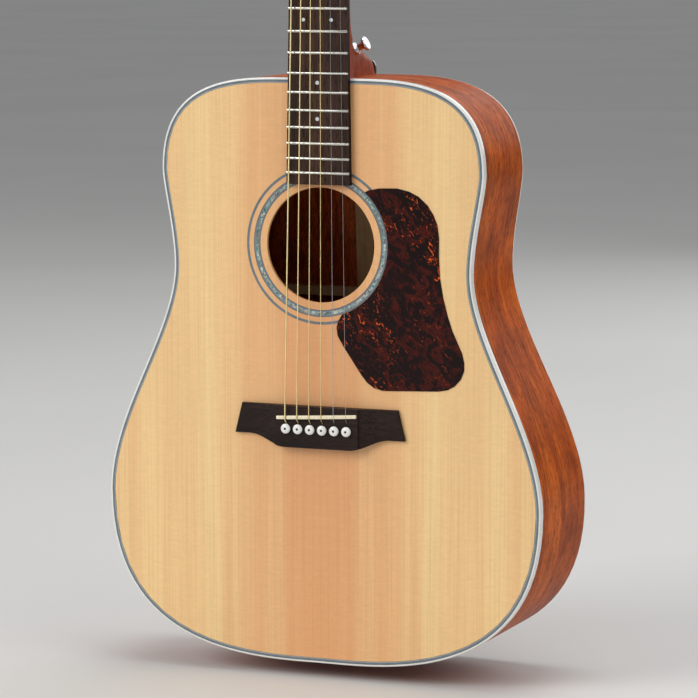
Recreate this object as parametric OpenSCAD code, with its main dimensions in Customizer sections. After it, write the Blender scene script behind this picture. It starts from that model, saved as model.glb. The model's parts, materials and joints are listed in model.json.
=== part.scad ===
// Acoustic guitar: a flat-top dreadnought that joins its neck at the 14th fret,
// built from the separate pieces that a maker would glue, bolt and string together.
// Axes: +Z runs along the neck to the headstock, the soundboard faces -Y, the treble side is +X.
// Origin: the seat of the end pin, on the tail's outer face at the middle of its depth.
// Strings, pins and tuners are numbered from 1, the high e on the treble side, to 6.

/* [Scale] */
// Open string length, from the nut to the uncompensated saddle line
scale_len = 648; // [540:1:780]
// Number of frets
fret_count = 20; // [18:1:20]
// Fret that lies over the body's edge
body_fret = 14; // [13:1:14]
// Distance of that fret above the body's edge
body_fret_gap = 4.4; // [2:0.1:8]
// String spread at the nut, from the first string to the sixth
nut_spread = 34.6; // [32:0.1:38]
// String spread at the saddle and the bridge pins
saddle_spread = 55.9; // [52:0.1:60]

/* [Body] */
// Length of the body
body_len = 505; // [420:1:610]
// Width across the upper bout
upper_w = 296; // [260:1:330]
// Width across the waist
waist_w = 274; // [228:1:285]
// Width across the lower bout
lower_w = 400; // [333:1:480]
// Widest point of the upper bout, below the body's neck end
upper_drop = 79; // [60:1:95]
// Narrowest point of the waist, below the body's neck end
waist_drop = 163; // [130:1:180]
// Widest point of the lower bout, above the tail
lower_rise = 141; // [115:1:165]
// Depth of the body at the tail, on the centreline
depth_tail = 134; // [110:1:160]
// Depth of the body at the neck, on the centreline
depth_neck = 96; // [88:1:110]
// Radius of the back's crosswise arch
back_r = 5000; // [3000:100:8000]
// Thickness of the soundboard
top_t = 2.8; // [2.4:0.1:3.4]
// Thickness of the back
back_t = 2.8; // [2.2:0.1:3.2]
// Thickness of the sides
side_t = 2.4; // [2.1:0.1:2.9]
// Width of the binding, seen from the front or the back
bind_w = 1.8; // [1.4:0.1:2]
// Height of the binding, seen from the side
bind_h = 6; // [4:0.1:7]
// Width of the purfling inside the front binding
purf_w = 2.8; // [2:0.1:3.4]
// Depth of the inlaid purfling and rosette
inlay_d = 1.4; // [1:0.1:1.8]
// Radius of the sound hole
hole_r = 49.3; // [45:0.1:52]
// Wood between the end of the fingerboard and the sound hole
hole_gap = 2.6; // [1:0.1:8]

/* [Inside the body] */
// Width of the kerfed linings
lining_w = 6; // [5:0.5:8]
// Height of the kerfed linings
lining_h = 14; // [12:0.5:18]
// Width of the neck block
neck_block_w = 76; // [70:1:90]
// Thickness of the neck block, along the body
neck_block_t = 42; // [36:1:50]
// Width of the tail block
tail_block_w = 110; // [90:1:120]
// Thickness of the tail block, along the body
tail_block_t = 20; // [16:1:26]
// Width of the soundboard's X braces
brace_w = 8; // [6:0.5:10]
// Height of the X braces where they cross
brace_h = 15; // [12:0.5:18]
// Height of the braces at their tapered ends
brace_tip_h = 4; // [3:0.5:6]
// Angle of each X brace away from the centreline
brace_angle = 48; // [45:0.5:51]
// Distance from the sound hole's edge to the crossing
brace_cross_gap = 31; // [25:1:40]
// Thickness of the maple plate under the bridge
bridge_plate_t = 2.5; // [2:0.1:3.5]

/* [Bridge] */
// Height of the bridge's middle block above the soundboard
bridge_h = 9.4; // [8:0.1:11]
// Height of the bridge's wings above the soundboard
wing_h = 4.6; // [3.5:0.1:6]
// Width of the bridge across its lower corners
bridge_w = 157; // [148:1:165]
// Width of the bridge along its upper edge
bridge_top_w = 144; // [136:1:147]
// Width of the bridge's middle block
bridge_block_w = 76; // [72:1:84]
// Distance from the saddle line to the bridge's upper edge
bridge_front = 8.4; // [6:0.1:12]
// Distance from the saddle line to the row of pins
pin_drop = 11.2; // [11:0.1:14]
// How far the belly reaches below the row of pins
belly_drop = 16.4; // [12:0.1:20]
// How far the saddle line lies beyond the scale length
compensation = 4.6; // [3:0.1:6]
// Length of the saddle
saddle_len = 74; // [70:1:80]
// Thickness of the saddle
saddle_t = 3.2; // [2.4:0.1:3.5]
// How far the saddle leans towards the nut over its length
saddle_lean = 4.2; // [3:0.1:5]
// Height of the saddle above the bridge at the centreline
saddle_rise = 3.2; // [2.5:0.1:4]
// Radius of a bridge pin's shank
pin_r = 2.6; // [2.4:0.05:2.8]
// Radius of a bridge pin's head
pin_head_r = 4.3; // [3.9:0.1:4.6]
// Length of a bridge pin's shank
pin_len = 27; // [24:0.5:30]

/* [Neck] */
// Width of the fingerboard at the nut
nut_w = 43; // [42:0.1:46]
// Width of the fingerboard at its free end
board_end_w = 57.9; // [56:0.1:61]
// Thickness of the fingerboard at its middle
board_t = 6.5; // [5.5:0.1:7]
// Radius of the fingerboard's crown
board_r = 406; // [300:1:500]
// Length of fingerboard past the last fret
board_tail = 10; // [8:0.5:14]
// Width of a fret's crown
fret_w = 2.3; // [2:0.1:2.8]
// Height of a fret's crown
fret_h = 1.1; // [0.9:0.05:1.3]
// Thickness of the nut, along the neck
nut_t = 5.5; // [5:0.1:6.5]
// Thickness of the neck under the fingerboard at the nut
neck_t_nut = 15; // [14:0.5:18]
// Thickness of the neck under the fingerboard at the heel
neck_t_heel = 17; // [16:0.5:20]
// Length of the heel along the neck
heel_len = 33; // [28:1:45]
// Half width of the heel at its cap
heel_cap_half = 13.6; // [12:0.1:18]
// Thickness of the heel cap
heel_cap_t = 3; // [2:0.5:5]

/* [Headstock] */
// Angle of the headstock behind the neck
head_angle = 14; // [11:1:17]
// Length of the headstock
head_len = 172; // [165:1:200]
// Width of the headstock at its widest
head_w = 76; // [72:1:80]
// Thickness of the headstock's wood
head_t = 14; // [13:0.5:16]
// Thickness of the dark veneer on its face
veneer_t = 1.6; // [1:0.1:2.5]
// Distance between tuners on one side
tuner_pitch = 42; // [36:0.5:44]
// Distance from the nut to the first tuner
tuner_first = 40; // [38:0.5:44]
// Distance of the tuner posts from the centreline
post_x = 24; // [22:0.1:26]
// Radius of a tuner post
post_r = 3; // [2.8:0.05:3.3]
// Radius of a tuner key's shaft
key_r = 2.2; // [2:0.05:2.5]
// Teeth on the worm wheel, turned by a single-start worm
wheel_teeth = 14; // [14:1:18]

/* [Fits] */
// Radial clearance of a shaft that turns or slides in a bore
run_gap = 0.05; // [0.02:0.01:0.1]
// Clearance around a string in the bridge, the nut and a pin
string_gap = 0.25; // [0.15:0.05:0.4]

/* [Hidden] */

$fn = 48;
eps = 0.02; // overlap that keeps a cut clean
reach = 400; // longer than any cut through the body needs
outline_steps = 16; // straight steps in each curve of the outline

// ---- places along the neck and body ----
function fret_drop(n) = scale_len * (1 - pow(2, -n / 12));
nut_z = body_len + fret_drop(body_fret) + body_fret_gap;
function fret_z(n) = nut_z - fret_drop(n);
face_y = -depth_tail / 2; // the soundboard's outer face
board_end_z = fret_z(fret_count) - board_tail;
hole_z = board_end_z - hole_gap - hole_r;
saddle_z = nut_z - scale_len - compensation;
pin_z = saddle_z - pin_drop;
board_len = nut_z - board_end_z;
back_lean = atan((depth_tail - depth_neck) / body_len);

// Width of the fingerboard at a height above the tail
function board_w(z) = nut_w + (board_end_w - nut_w) * (nut_z - z) / board_len;
// Drop of a crowned surface of the fingerboard's radius, away from the centreline
function crown(x) = board_r - sqrt(board_r * board_r - x * x);

// ---- the body's outline ----
flat_half = 31; // straight stretch that the neck's heel sits against
// Each curve leaves one widest or narrowest place and arrives at the next; the pairs give
// how far its two handles reach, as shares of the curve's own width or height.
shoulder_pull = [0.39, 1.0];
upper_pull = [0.19, 0.35];
waist_pull = [0.29, 0.34];
tail_pull = [1.06, 0.28];

function curve(p, c1, c2, q) = [for (i = [1 : outline_steps])
    let (t = i / outline_steps, u = 1 - t)
    u * u * u * p + 3 * u * u * t * c1 + 3 * u * t * t * c2 + t * t * t * q];

function right_half() =
    let (top = [flat_half, body_len],
         upper = [upper_w / 2, body_len - upper_drop],
         waist = [waist_w / 2, body_len - waist_drop],
         lower = [lower_w / 2, lower_rise],
         tail = [0, 0],
         upper_h = upper[1] - waist[1],
         waist_h = waist[1] - lower[1])
    concat([top],
        curve(top, top + [shoulder_pull[0] * (upper[0] - top[0]), 0],
            upper + [0, shoulder_pull[1] * upper_drop], upper),
        curve(upper, upper - [0, upper_pull[0] * upper_h],
            waist + [0, upper_pull[1] * upper_h], waist),
        curve(waist, waist - [0, waist_pull[0] * waist_h],
            lower + [0, waist_pull[1] * waist_h], lower),
        curve(lower, lower - [0, tail_pull[0] * lower_rise],
            tail + [tail_pull[1] * lower[0], 0], tail));

function unit(v) = v / norm(v);
body_outline = let (r = right_half(), n = len(r))
    concat(r, [for (i = [n - 2 : -1 : 0]) [-r[i][0], r[i][1]]]);
// The outline moved inwards by d along its own normals
function inset(d) = let (p = body_outline, n = len(p)) [for (i = [0 : n - 1])
    let (t = unit(p[(i + 1) % n] - p[(i + n - 1) % n])) p[i] + d * [t[1], -t[0]]];

// ---- helpers ----
// A flat outline in X and Z, standing from y0 to y1
module slab(y0, y1) {
    translate([0, y1, 0]) rotate([90, 0, 0]) linear_extrude(y1 - y0) children();
}
module body_prism(d, y0 = face_y, y1 = reach / 2) {
    slab(y0, y1) polygon(inset(d));
}
module body_ring(d0, d1, y0 = face_y, y1 = reach / 2) {
    slab(y0, y1) difference() {
        polygon(inset(d0));
        polygon(inset(d1));
    }
}
// Everything in front of the back's outer face, less a skin of thickness t
module in_front_of_back(t) {
    translate([0, face_y + depth_tail, 0]) rotate([back_lean, 0, 0])
        translate([0, -back_r, -reach / 4])
            cylinder(h = body_len + reach, r = back_r - t, $fn = 720);
}
module back_layer(t0, t1) {
    difference() {
        in_front_of_back(t0);
        in_front_of_back(t1);
    }
}
// A box given by its middle in X, and its lowest and highest Y and Z
module bar(w, y, z, x = 0) {
    translate([x - w / 2, y[0], z[0]]) cube([w, y[1] - y[0], z[1] - z[0]]);
}
// A round rod from p to q
module rod(p, q, r) {
    v = q - p;
    translate(p) rotate([0, acos(v[2] / norm(v)), atan2(v[1], v[0])])
        cylinder(h = norm(v), r = r);
}
// A closed skin over rings that all have the same number of points, each ring anticlockwise
// when seen from the last one
module loft(rings) {
    n = len(rings[0]);
    last = len(rings) - 1;
    polyhedron(points = [for (ring = rings) each ring], convexity = 4, faces = concat(
        [[for (i = [0 : n - 1]) i]],
        [for (k = [0 : last - 1], i = [0 : n - 1]) let (a = k * n + i, b = k * n + (i + 1) % n)
            each [[a, a + n, b], [b, a + n, b + n]]],
        [[for (i = [n - 1 : -1 : 0]) last * n + i]]));
}
// A round wire through the points of a path that bends mostly in the plane of Y and Z
wire_sides = 10;
function wire_ring(path, i, r) =
    let (before = unit(i > 0 ? path[i] - path[i - 1] : path[1] - path[0]),
         after = unit(i < len(path) - 1 ? path[i + 1] - path[i] : path[i] - path[i - 1]),
         t = unit(before + after),
         u = unit([1, 0, 0] - t[0] * t),
         v = cross(t, u) / (before * t))
    [for (k = [0 : wire_sides - 1]) let (a = 360 * k / wire_sides)
        path[i] + r * (cos(a) * u + sin(a) * v)];
module wire(path, radii) {
    loft([for (i = [0 : len(path) - 1]) wire_ring(path, i, radii[i])]);
}
module rod_y(x, z, y0, y1, r) {
    translate([x, y1, z]) rotate([90, 0, 0]) cylinder(h = y1 - y0, r = r);
}
module rod_x(x0, x1, y, z, r) {
    translate([x0, y, z]) rotate([0, 90, 0]) cylinder(h = x1 - x0, r = r);
}

// ---- strings, pins and tuners: where each one is ----
// Diameters of the strings, from the first to the sixth
string_d = [0.3, 0.41, 0.61, 0.81, 1.07, 1.35];
function string_r(n) = string_d[n - 1] / 2;
function share_x(n) = 0.5 - (n - 1) / 5;
function pin_x(n) = saddle_spread * share_x(n);
function nut_x(n) = nut_spread * share_x(n);
function side(n) = n <= 3 ? 1 : -1;
function row(n) = n <= 3 ? n - 1 : 6 - n;
function post_z(n) = tuner_first + tuner_pitch * row(n);

nut_action = 0.5; // string above the plane of the frets, at the nut
string_rise_nut = board_t + fret_h + nut_action;
string_rise_saddle = bridge_h + saddle_rise;

// The headstock's own frame: its face at y = 0, starting behind the nut at z = 0
module on_head() {
    translate([0, face_y, nut_z + nut_t]) rotate([-head_angle, 0, 0]) children();
}
function head_point(p) = [p[0],
    face_y + p[1] * cos(head_angle) + p[2] * sin(head_angle),
    nut_z + nut_t - p[1] * sin(head_angle) + p[2] * cos(head_angle)];

// ---- the sound box ----
module pin_holes(r) {
    for (n = [1 : 6]) rod_y(pin_x(n), pin_z, face_y - reach / 4, face_y + reach / 4, r);
}
// The inlaid rings round the sound hole: inner and outer radius of each
rosette_rings = [[hole_r + 6.3, hole_r + 12.4], [hole_r + 16.6, hole_r + 18.9]];
module rosette_shape() {
    translate([0, hole_z]) for (ring = rosette_rings) difference() {
        circle(r = ring[1], $fn = 96);
        circle(r = ring[0], $fn = 96);
    }
}
module soundboard() {
    color("burlywood") difference() {
        body_prism(bind_w, face_y, face_y + top_t);
        body_ring(bind_w - eps, bind_w + purf_w, face_y - 1, face_y + inlay_d);
        rod_y(0, hole_z, face_y - 1, face_y + top_t + 1, hole_r);
        slab(face_y - 1, face_y + inlay_d) rosette_shape();
        pin_holes(pin_r + run_gap);
    }
}
module top_purfling() {
    color("slategray") body_ring(bind_w, bind_w + purf_w, face_y, face_y + inlay_d);
}
module rosette() {
    color("lightblue") slab(face_y, face_y + inlay_d) rosette_shape();
}
module back() {
    color("sienna") intersection() {
        body_prism(bind_w);
        back_layer(0, back_t);
    }
}
module sides() {
    difference() {
        intersection() {
            body_ring(0, side_t, face_y + top_t);
            in_front_of_back(back_t);
        }
        body_ring(-1, bind_w, face_y, face_y + bind_h);
        intersection() {
            body_ring(-1, bind_w);
            back_layer(-1, bind_h);
        }
        translate([0, 0, -side_t]) cylinder(h = 3 * side_t, r = end_pin_shank_r);
        neck_bolt_holes(neck_bolt_r + run_gap);
    }
}
module half_space(s) {
    translate([s > 0 ? 0 : -reach, -reach, -reach]) cube([reach, 2 * reach, 4 * reach]);
}
module side_bass() {
    color("saddlebrown") intersection() {
        sides();
        half_space(-1);
    }
}
module side_treble() {
    color("saddlebrown") intersection() {
        sides();
        half_space(1);
    }
}
module top_binding() {
    color("ivory") body_ring(0, bind_w, face_y, face_y + bind_h);
}
module back_binding() {
    color("ivory") intersection() {
        body_ring(0, bind_w);
        back_layer(0, bind_h);
    }
}

// ---- inside the sound box ----
module blocks_space(gap) {
    bar(neck_block_w + 2 * gap, [face_y, reach],
        [body_len - side_t - neck_block_t - gap, body_len]);
    bar(tail_block_w + 2 * gap, [face_y, reach], [-1, side_t + tail_block_t + gap]);
}
module top_lining() {
    color("tan") difference() {
        body_ring(side_t, side_t + lining_w, face_y + top_t, face_y + top_t + lining_h);
        blocks_space(0);
    }
}
module back_lining() {
    color("tan") difference() {
        intersection() {
            body_ring(side_t, side_t + lining_w);
            back_layer(back_t, back_t + lining_h);
        }
        blocks_space(0);
    }
}
module inside_shape() {
    intersection() {
        body_prism(side_t, face_y + top_t);
        in_front_of_back(back_t);
    }
}
// Two bolts hold the heel to the neck block
neck_bolt_r = 3;
neck_bolt_y = [face_y + 30, face_y + 62];
module neck_bolt_holes(r) {
    for (y = neck_bolt_y) translate([0, y, body_len - side_t - neck_block_t - 1])
        cylinder(h = side_t + neck_block_t + 2, r = r);
}
module neck_block() {
    color("peru") difference() {
        intersection() {
            inside_shape();
            bar(neck_block_w, [face_y, reach], [body_len - side_t - neck_block_t, body_len]);
        }
        neck_bolt_holes(neck_bolt_r + run_gap);
    }
}
end_pin_shank_r = 4.5;
end_pin_len = side_t + tail_block_t - 2;
module tail_block() {
    color("peru") difference() {
        intersection() {
            inside_shape();
            bar(tail_block_w, [face_y, reach], [-1, side_t + tail_block_t]);
        }
        translate([0, 0, -1]) cylinder(h = reach / 4, r = end_pin_shank_r);
    }
}

// A brace on the soundboard: a bar along its own length with both ends tapered
module brace(length, h, w, tip = brace_tip_h, taper = 0.3) {
    translate([-w / 2, face_y + top_t, 0]) rotate([90, 0, 90]) linear_extrude(w)
        polygon([[0, -length / 2], [tip, -length / 2], [h, -length * (0.5 - taper)],
            [h, length * (0.5 - taper)], [tip, length / 2], [0, length / 2]]);
}
cross_z = hole_z - hole_r - brace_cross_gap;
module x_leg(s, extra = 0) {
    translate([0, 0, cross_z]) rotate([0, s * brace_angle, 0])
        brace(2 * lower_w, brace_h, brace_w + 2 * extra, brace_h);
}
module braced_area() {
    body_prism(side_t + lining_w, face_y + top_t, face_y + top_t + brace_h);
}
lap_gap = 0.05; // glue line where the two X braces cross
module x_braces() {
    color("wheat") {
        difference() {
            intersection() {
                x_leg(1);
                braced_area();
            }
            intersection() {
                x_leg(-1, lap_gap);
                bar(2 * lower_w, [face_y, face_y + top_t + brace_h / 2 + lap_gap], [0, body_len]);
            }
        }
        difference() {
            intersection() {
                x_leg(-1);
                braced_area();
            }
            intersection() {
                x_leg(1, lap_gap);
                bar(2 * lower_w, [face_y + top_t + brace_h / 2, reach], [0, body_len]);
            }
        }
    }
}
bar_gap = 1; // left between one brace and the next
// The part of the soundboard below the crossing and between the X braces
module between_legs(gap) {
    apex = cross_z - (brace_w / 2 + gap) / sin(brace_angle);
    slab(face_y, reach) polygon([[0, apex], [reach * tan(brace_angle), apex - reach],
        [-reach * tan(brace_angle), apex - reach]]);
}
upper_bar_z = (body_len - side_t - neck_block_t + hole_z + hole_r) / 2;
upper_bar_w = 11;
upper_bar_h = 13;
tone_bar_w = 6;
tone_bar_h = 11;
tone_bar_turn = 76; // away from the centreline
tone_bar_step = 46; // from one tone bar down to the next
tone_bar_loss = 60; // the lower bar is this much shorter
finger_len = 74;
finger_h = 7;
finger_turn = 66;
finger_in = 68; // from the widest place of the lower bout in to the upper finger brace
finger_in_step = 8;
finger_drop = 42; // from the crossing down to the upper finger brace
finger_step = 50;
plate_half_z = 29; // the bridge plate reaches this far above and below the pins
plate_w = bridge_w + 6;
tone_bar_z = pin_z - plate_half_z - 22; // where the upper tone bar crosses the centreline
module top_bars() {
    color("wheat") difference() {
        intersection() {
            union() {
                translate([0, 0, upper_bar_z]) rotate([0, 90, 0])
                    brace(upper_w, upper_bar_h, upper_bar_w, upper_bar_h);
                intersection() {
                    for (k = [0, 1]) translate([0, 0, tone_bar_z - tone_bar_step * k])
                        rotate([0, tone_bar_turn, 0])
                            brace(waist_w - tone_bar_loss * k, tone_bar_h, tone_bar_w);
                    between_legs(bar_gap);
                }
                for (s = [-1, 1], k = [0, 1])
                    translate([s * (lower_w / 2 - finger_in - finger_in_step * k), 0,
                        cross_z - finger_drop - finger_step * k])
                        rotate([0, s * finger_turn, 0]) brace(finger_len, finger_h, tone_bar_w);
            }
            braced_area();
        }
        for (s = [-1, 1]) x_leg(s, bar_gap);
        bar(plate_w + 2 * bar_gap, [face_y, reach],
            [pin_z - plate_half_z - bar_gap, pin_z + plate_half_z + bar_gap]);
        blocks_space(bar_gap);
    }
}
module bridge_plate() {
    color("khaki") difference() {
        intersection() {
            bar(plate_w, [face_y + top_t, face_y + top_t + bridge_plate_t],
                [pin_z - plate_half_z, pin_z + plate_half_z]);
            between_legs(bar_gap / 2);
        }
        pin_holes(pin_r + run_gap);
    }
}
back_brace_w = 8;
back_brace_h = 12;
strip_w = 16;
strip_t = 2;
// Shares of the body's length at which the four back braces stand
back_brace_at = [0.2, 0.4, 0.62, 0.83];
module back_braces(extra = 0) {
    for (f = back_brace_at) bar(2 * lower_w, [-reach, reach],
        [body_len * f - back_brace_w / 2 - extra, body_len * f + back_brace_w / 2 + extra]);
}
module back_bracing() {
    color("wheat") {
        intersection() {
            back_braces();
            body_prism(side_t + lining_w);
            back_layer(back_t, back_t + back_brace_h);
        }
        difference() {
            intersection() {
                bar(strip_w, [0, reach], [side_t + tail_block_t,
                    body_len - side_t - neck_block_t]);
                back_layer(back_t, back_t + strip_t);
            }
            back_braces(bar_gap / 4);
        }
    }
}

// ---- on the soundboard ----
pickguard_t = 0.8;
// Outline of the pickguard beside the hole, from its upper corner round to its inner corner
guard_gap = hole_r + 12.6; // radius of the edge that follows the rosette's inner ring
guard_points = [[44, 48], [54, 50], [70, 50.4], [81, 48], [89.5, 44], [97.5, 37], [103, 29],
    [106.5, 20.5], [108, 10], [108, -6], [109, -24], [112, -41], [116, -56], [120.5, -69],
    [125, -78.5], [129, -87], [131, -95], [131, -102], [128, -109.5], [122.5, -115.5],
    [116, -119], [108, -120.5], [58, -122.5], [49.5, -120.5], [43, -116], [38, -110],
    [21, -85.5], [16, -77], [15, -70], [16.5, -64.5]];
guard_arc_from = -71; // bearing from the hole's centre, anticlockwise from the treble side
guard_arc_to = 48.5;
guard_off_bridge = 6; // the pickguard stops at least this far above the bridge
module pickguard() {
    color("#3b1a10") slab(face_y - pickguard_t, face_y) intersection() {
        translate([0, hole_z]) polygon(concat(guard_points,
            [for (a = [guard_arc_from : 5 : guard_arc_to]) guard_gap * [cos(a), sin(a)]],
            [guard_gap * [cos(guard_arc_to), sin(guard_arc_to)]]));
        translate([0, saddle_z + bridge_front + guard_off_bridge]) square(reach);
    }
}

corner_drop = 6.6; // the wings' lower corners lie this far below the row of pins
belly_from = 64; // half widths between which the lower edge swells to its belly
belly_to = 30;
function swell(t) = t * t * (3 - 2 * t);
function bridge_half() = concat(
    [[bridge_top_w / 2, saddle_z + bridge_front], [bridge_w / 2, pin_z - corner_drop]],
    [for (i = [0 : 8]) let (t = i / 8) [belly_from + (belly_to - belly_from) * t,
        pin_z - corner_drop - (belly_drop - corner_drop) * swell(t)]]);
function mirrored(half) = concat(half,
    [for (i = [len(half) - 1 : -1 : 0]) [-half[i][0], half[i][1]]]);
function saddle_line_z(x) = saddle_z + saddle_lean * x / saddle_len;
saddle_turn = -atan(saddle_lean / saddle_len);
slot_depth = 5;
pocket_gap = 0.05;
module saddle_shape(t, length, y) {
    translate([0, 0, saddle_z]) rotate([0, saddle_turn, 0])
        bar(length, y, [-t / 2, t / 2]);
}
module bridge() {
    color("#2a1c16") difference() {
        union() {
            slab(face_y - wing_h, face_y) polygon(mirrored(bridge_half()));
            intersection() {
                slab(face_y - bridge_h, face_y) polygon(mirrored(bridge_half()));
                bar(bridge_block_w, [-reach, reach], [0, body_len]);
            }
        }
        saddle_shape(saddle_t + 2 * pocket_gap, saddle_len + 2 * pocket_gap,
            [face_y - bridge_h - 1, face_y - bridge_h + slot_depth]);
        pin_holes(pin_r + run_gap);
        for (n = [1 : 6])
            rod(string_entry(n), string_break(n), string_r(n) + string_gap);
    }
}
module saddle() {
    color("linen") intersection() {
        saddle_shape(saddle_t, saddle_len,
            [face_y - string_rise_saddle, face_y - bridge_h + slot_depth]);
        translate([0, face_y - string_rise_saddle + board_r, 0])
            cylinder(h = body_len + reach, r = board_r, $fn = 720);
    }
}
// The slot down a pin's neck side takes the thickest string
slot_gap = 0.2; // left round that string, inside the slot
thickest = max(string_d);
pin_slot_w = thickest + 2 * slot_gap;
string_in_slot = pin_r - slot_gap - thickest / 2; // from the pin's axis to the string's
pin_slot_floor = string_in_slot - thickest / 2 - slot_gap;
pin_rim_h = 1.6; // height of a pin's collar, and of the dome above it
pin_dome_in = 1.5; // how far the dome draws in
module bridge_pin(n) {
    head_y = face_y - bridge_h;
    color("ivory") difference() {
        union() {
            rod_y(pin_x(n), pin_z, head_y - eps, head_y + pin_len, pin_r);
            rod_y(pin_x(n), pin_z, head_y - pin_rim_h, head_y, pin_head_r);
            translate([pin_x(n), head_y - pin_rim_h, pin_z]) rotate([90, 0, 0])
                cylinder(h = pin_rim_h, r1 = pin_head_r, r2 = pin_head_r - pin_dome_in);
        }
        bar(pin_slot_w, [head_y, head_y + pin_len + 1],
            [pin_z + pin_slot_floor, pin_z + 2 * pin_r], pin_x(n));
    }
}

// ---- strings ----
entry_depth = 3.3; // below the bridge's face, where a string leaves its pin's slot
ball_r = 1.9;
ball_len = 3.4;
ball_z = pin_z + pin_r + ball_len / 2 + 0.2;
plate_back_y = face_y + top_t + bridge_plate_t;
ball_y = plate_back_y + ball_r + 0.2;
function string_entry(n) = [pin_x(n), face_y - bridge_h + entry_depth,
    pin_z + string_in_slot];
// Where the string bends over the saddle's two upper edges
function saddle_edge(n, s) = [pin_x(n),
    face_y - string_rise_saddle + crown(pin_x(n)) - string_r(n),
    saddle_line_z(pin_x(n)) + s * saddle_t / 2];
function string_break(n) = saddle_edge(n, -1);
function nut_edge(n, s) = [nut_x(n),
    face_y - string_rise_nut + crown(nut_x(n)) - string_r(n), nut_z + s * nut_t];
string_rise_post = 5.2; // above the headstock's wood, where a string meets its post
function string_end(n) = head_point([side(n) * (post_x - post_r - string_r(n) - 0.12),
    -string_rise_post, post_z(n)]);
string_off_plate = 0.95; // from the bridge plate's back to where a string turns to its ball
module string(n) {
    r = string_r(n);
    path = [
        [pin_x(n), ball_y, ball_z + ball_len / 2],
        [pin_x(n), ball_y, ball_z - ball_len / 2 + eps],
        [pin_x(n), ball_y, ball_z - ball_len / 2],
        [pin_x(n), plate_back_y + string_off_plate, pin_z + string_in_slot],
        string_entry(n), saddle_edge(n, -1), saddle_edge(n, 1),
        nut_edge(n, 0), nut_edge(n, 1), string_end(n)];
    color(n <= 2 ? "silver" : "goldenrod")
        wire(path, [for (i = [0 : len(path) - 1]) i < 2 ? ball_r : r]);
}

// ---- fingerboard, frets and nut ----
module board_outline() {
    polygon([[-board_end_w / 2, board_end_z], [board_end_w / 2, board_end_z],
        [nut_w / 2, nut_z], [-nut_w / 2, nut_z]]);
}
module crowned(rise) {
    translate([0, face_y - rise + board_r, 0])
        cylinder(h = 4 * reach, r = board_r, $fn = 720);
}
dot_d = 3.4; // single position dots
dot_pair_d = 3.1; // the pair at the octave
dot_pair_x = 12.65;
dot_depth = 2;
dot_frets = [3, 5, 7, 9, 15, 17];
module dots(grow) {
    for (f = dot_frets) rod_y(0, (fret_z(f) + fret_z(f - 1)) / 2,
        face_y - board_t - 1, face_y - board_t + dot_depth, dot_d / 2 + grow);
    for (s = [-1, 1]) rod_y(s * dot_pair_x, (fret_z(12) + fret_z(11)) / 2,
        face_y - board_t - 1, face_y - board_t + dot_depth, dot_pair_d / 2 + grow);
}
tang_w = 0.6;
tang_d = 1.8;
module tangs() {
    for (f = [1 : fret_count]) bar(board_w(fret_z(f)),
        [face_y - board_t - 1, face_y - board_t + tang_d + crown(board_w(fret_z(f)) / 2)],
        [fret_z(f) - tang_w / 2, fret_z(f) + tang_w / 2]);
}
module fingerboard() {
    color("#3a2a22") difference() {
        intersection() {
            slab(face_y - board_t, face_y) board_outline();
            crowned(board_t);
        }
        for (f = [1 : fret_count]) bar(2 * board_end_w,
            [face_y - board_t - 1, face_y - board_t + tang_d + crown(board_w(fret_z(f)) / 2)],
            [fret_z(f) - tang_w / 2, fret_z(f) + tang_w / 2]);
        dots(0);
    }
}
module position_dots() {
    color("white") intersection() {
        dots(0);
        crowned(board_t);
    }
}
// A fret: a rounded crown that follows the board's curve, with a tang below it
fret_profile = [[0, -fret_w / 2], [0.35 * fret_h, -fret_w / 2], [0.8 * fret_h, -0.3 * fret_w],
    [fret_h, -0.1 * fret_w], [fret_h, 0.1 * fret_w], [0.8 * fret_h, 0.3 * fret_w],
    [0.35 * fret_h, fret_w / 2], [0, fret_w / 2]];
module frets() {
    color("silver") for (f = [1 : fret_count]) {
        half = asin(board_w(fret_z(f)) / 2 / board_r);
        union() {
            translate([0, face_y - board_t + board_r, fret_z(f)]) rotate([0, 0, -90 - half])
                rotate_extrude(angle = 2 * half, $fn = 1440)
                    translate([board_r, 0]) polygon(fret_profile);
            intersection() {
                bar(board_w(fret_z(f)), [face_y - board_t - 1,
                    face_y - board_t + tang_d + crown(board_w(fret_z(f)) / 2)],
                    [fret_z(f) - tang_w / 2, fret_z(f) + tang_w / 2]);
                crowned(board_t + eps);
            }
        }
    }
}
nut_cap = 0.6; // nut material beside a string, above its slot's floor
module nut() {
    color("linen") difference() {
        intersection() {
            bar(nut_w, [face_y - string_rise_nut - nut_cap, face_y], [nut_z, nut_z + nut_t]);
            crowned(string_rise_nut + nut_cap);
        }
        for (n = [1 : 6]) {
            lowest = nut_edge(n, 0)[1] + string_r(n);
            bar(string_d[n - 1] + 2 * string_gap, [lowest - 2 * string_d[n - 1] - 2, lowest],
                [nut_z - 1, nut_z + nut_t + 1], nut_x(n));
        }
    }
}

// ---- neck ----
// A neck's cross-section: a rounded D under the fingerboard
function neck_ring(w, t, z) = [for (i = [0 : 16]) let (a = 180 * i / 16)
    [w / 2 * cos(a), face_y + t * pow(sin(a), 0.9), z]];
volute_len = 14; // stretch over which the neck swells into the headstock
volute_swell = 2;
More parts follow.
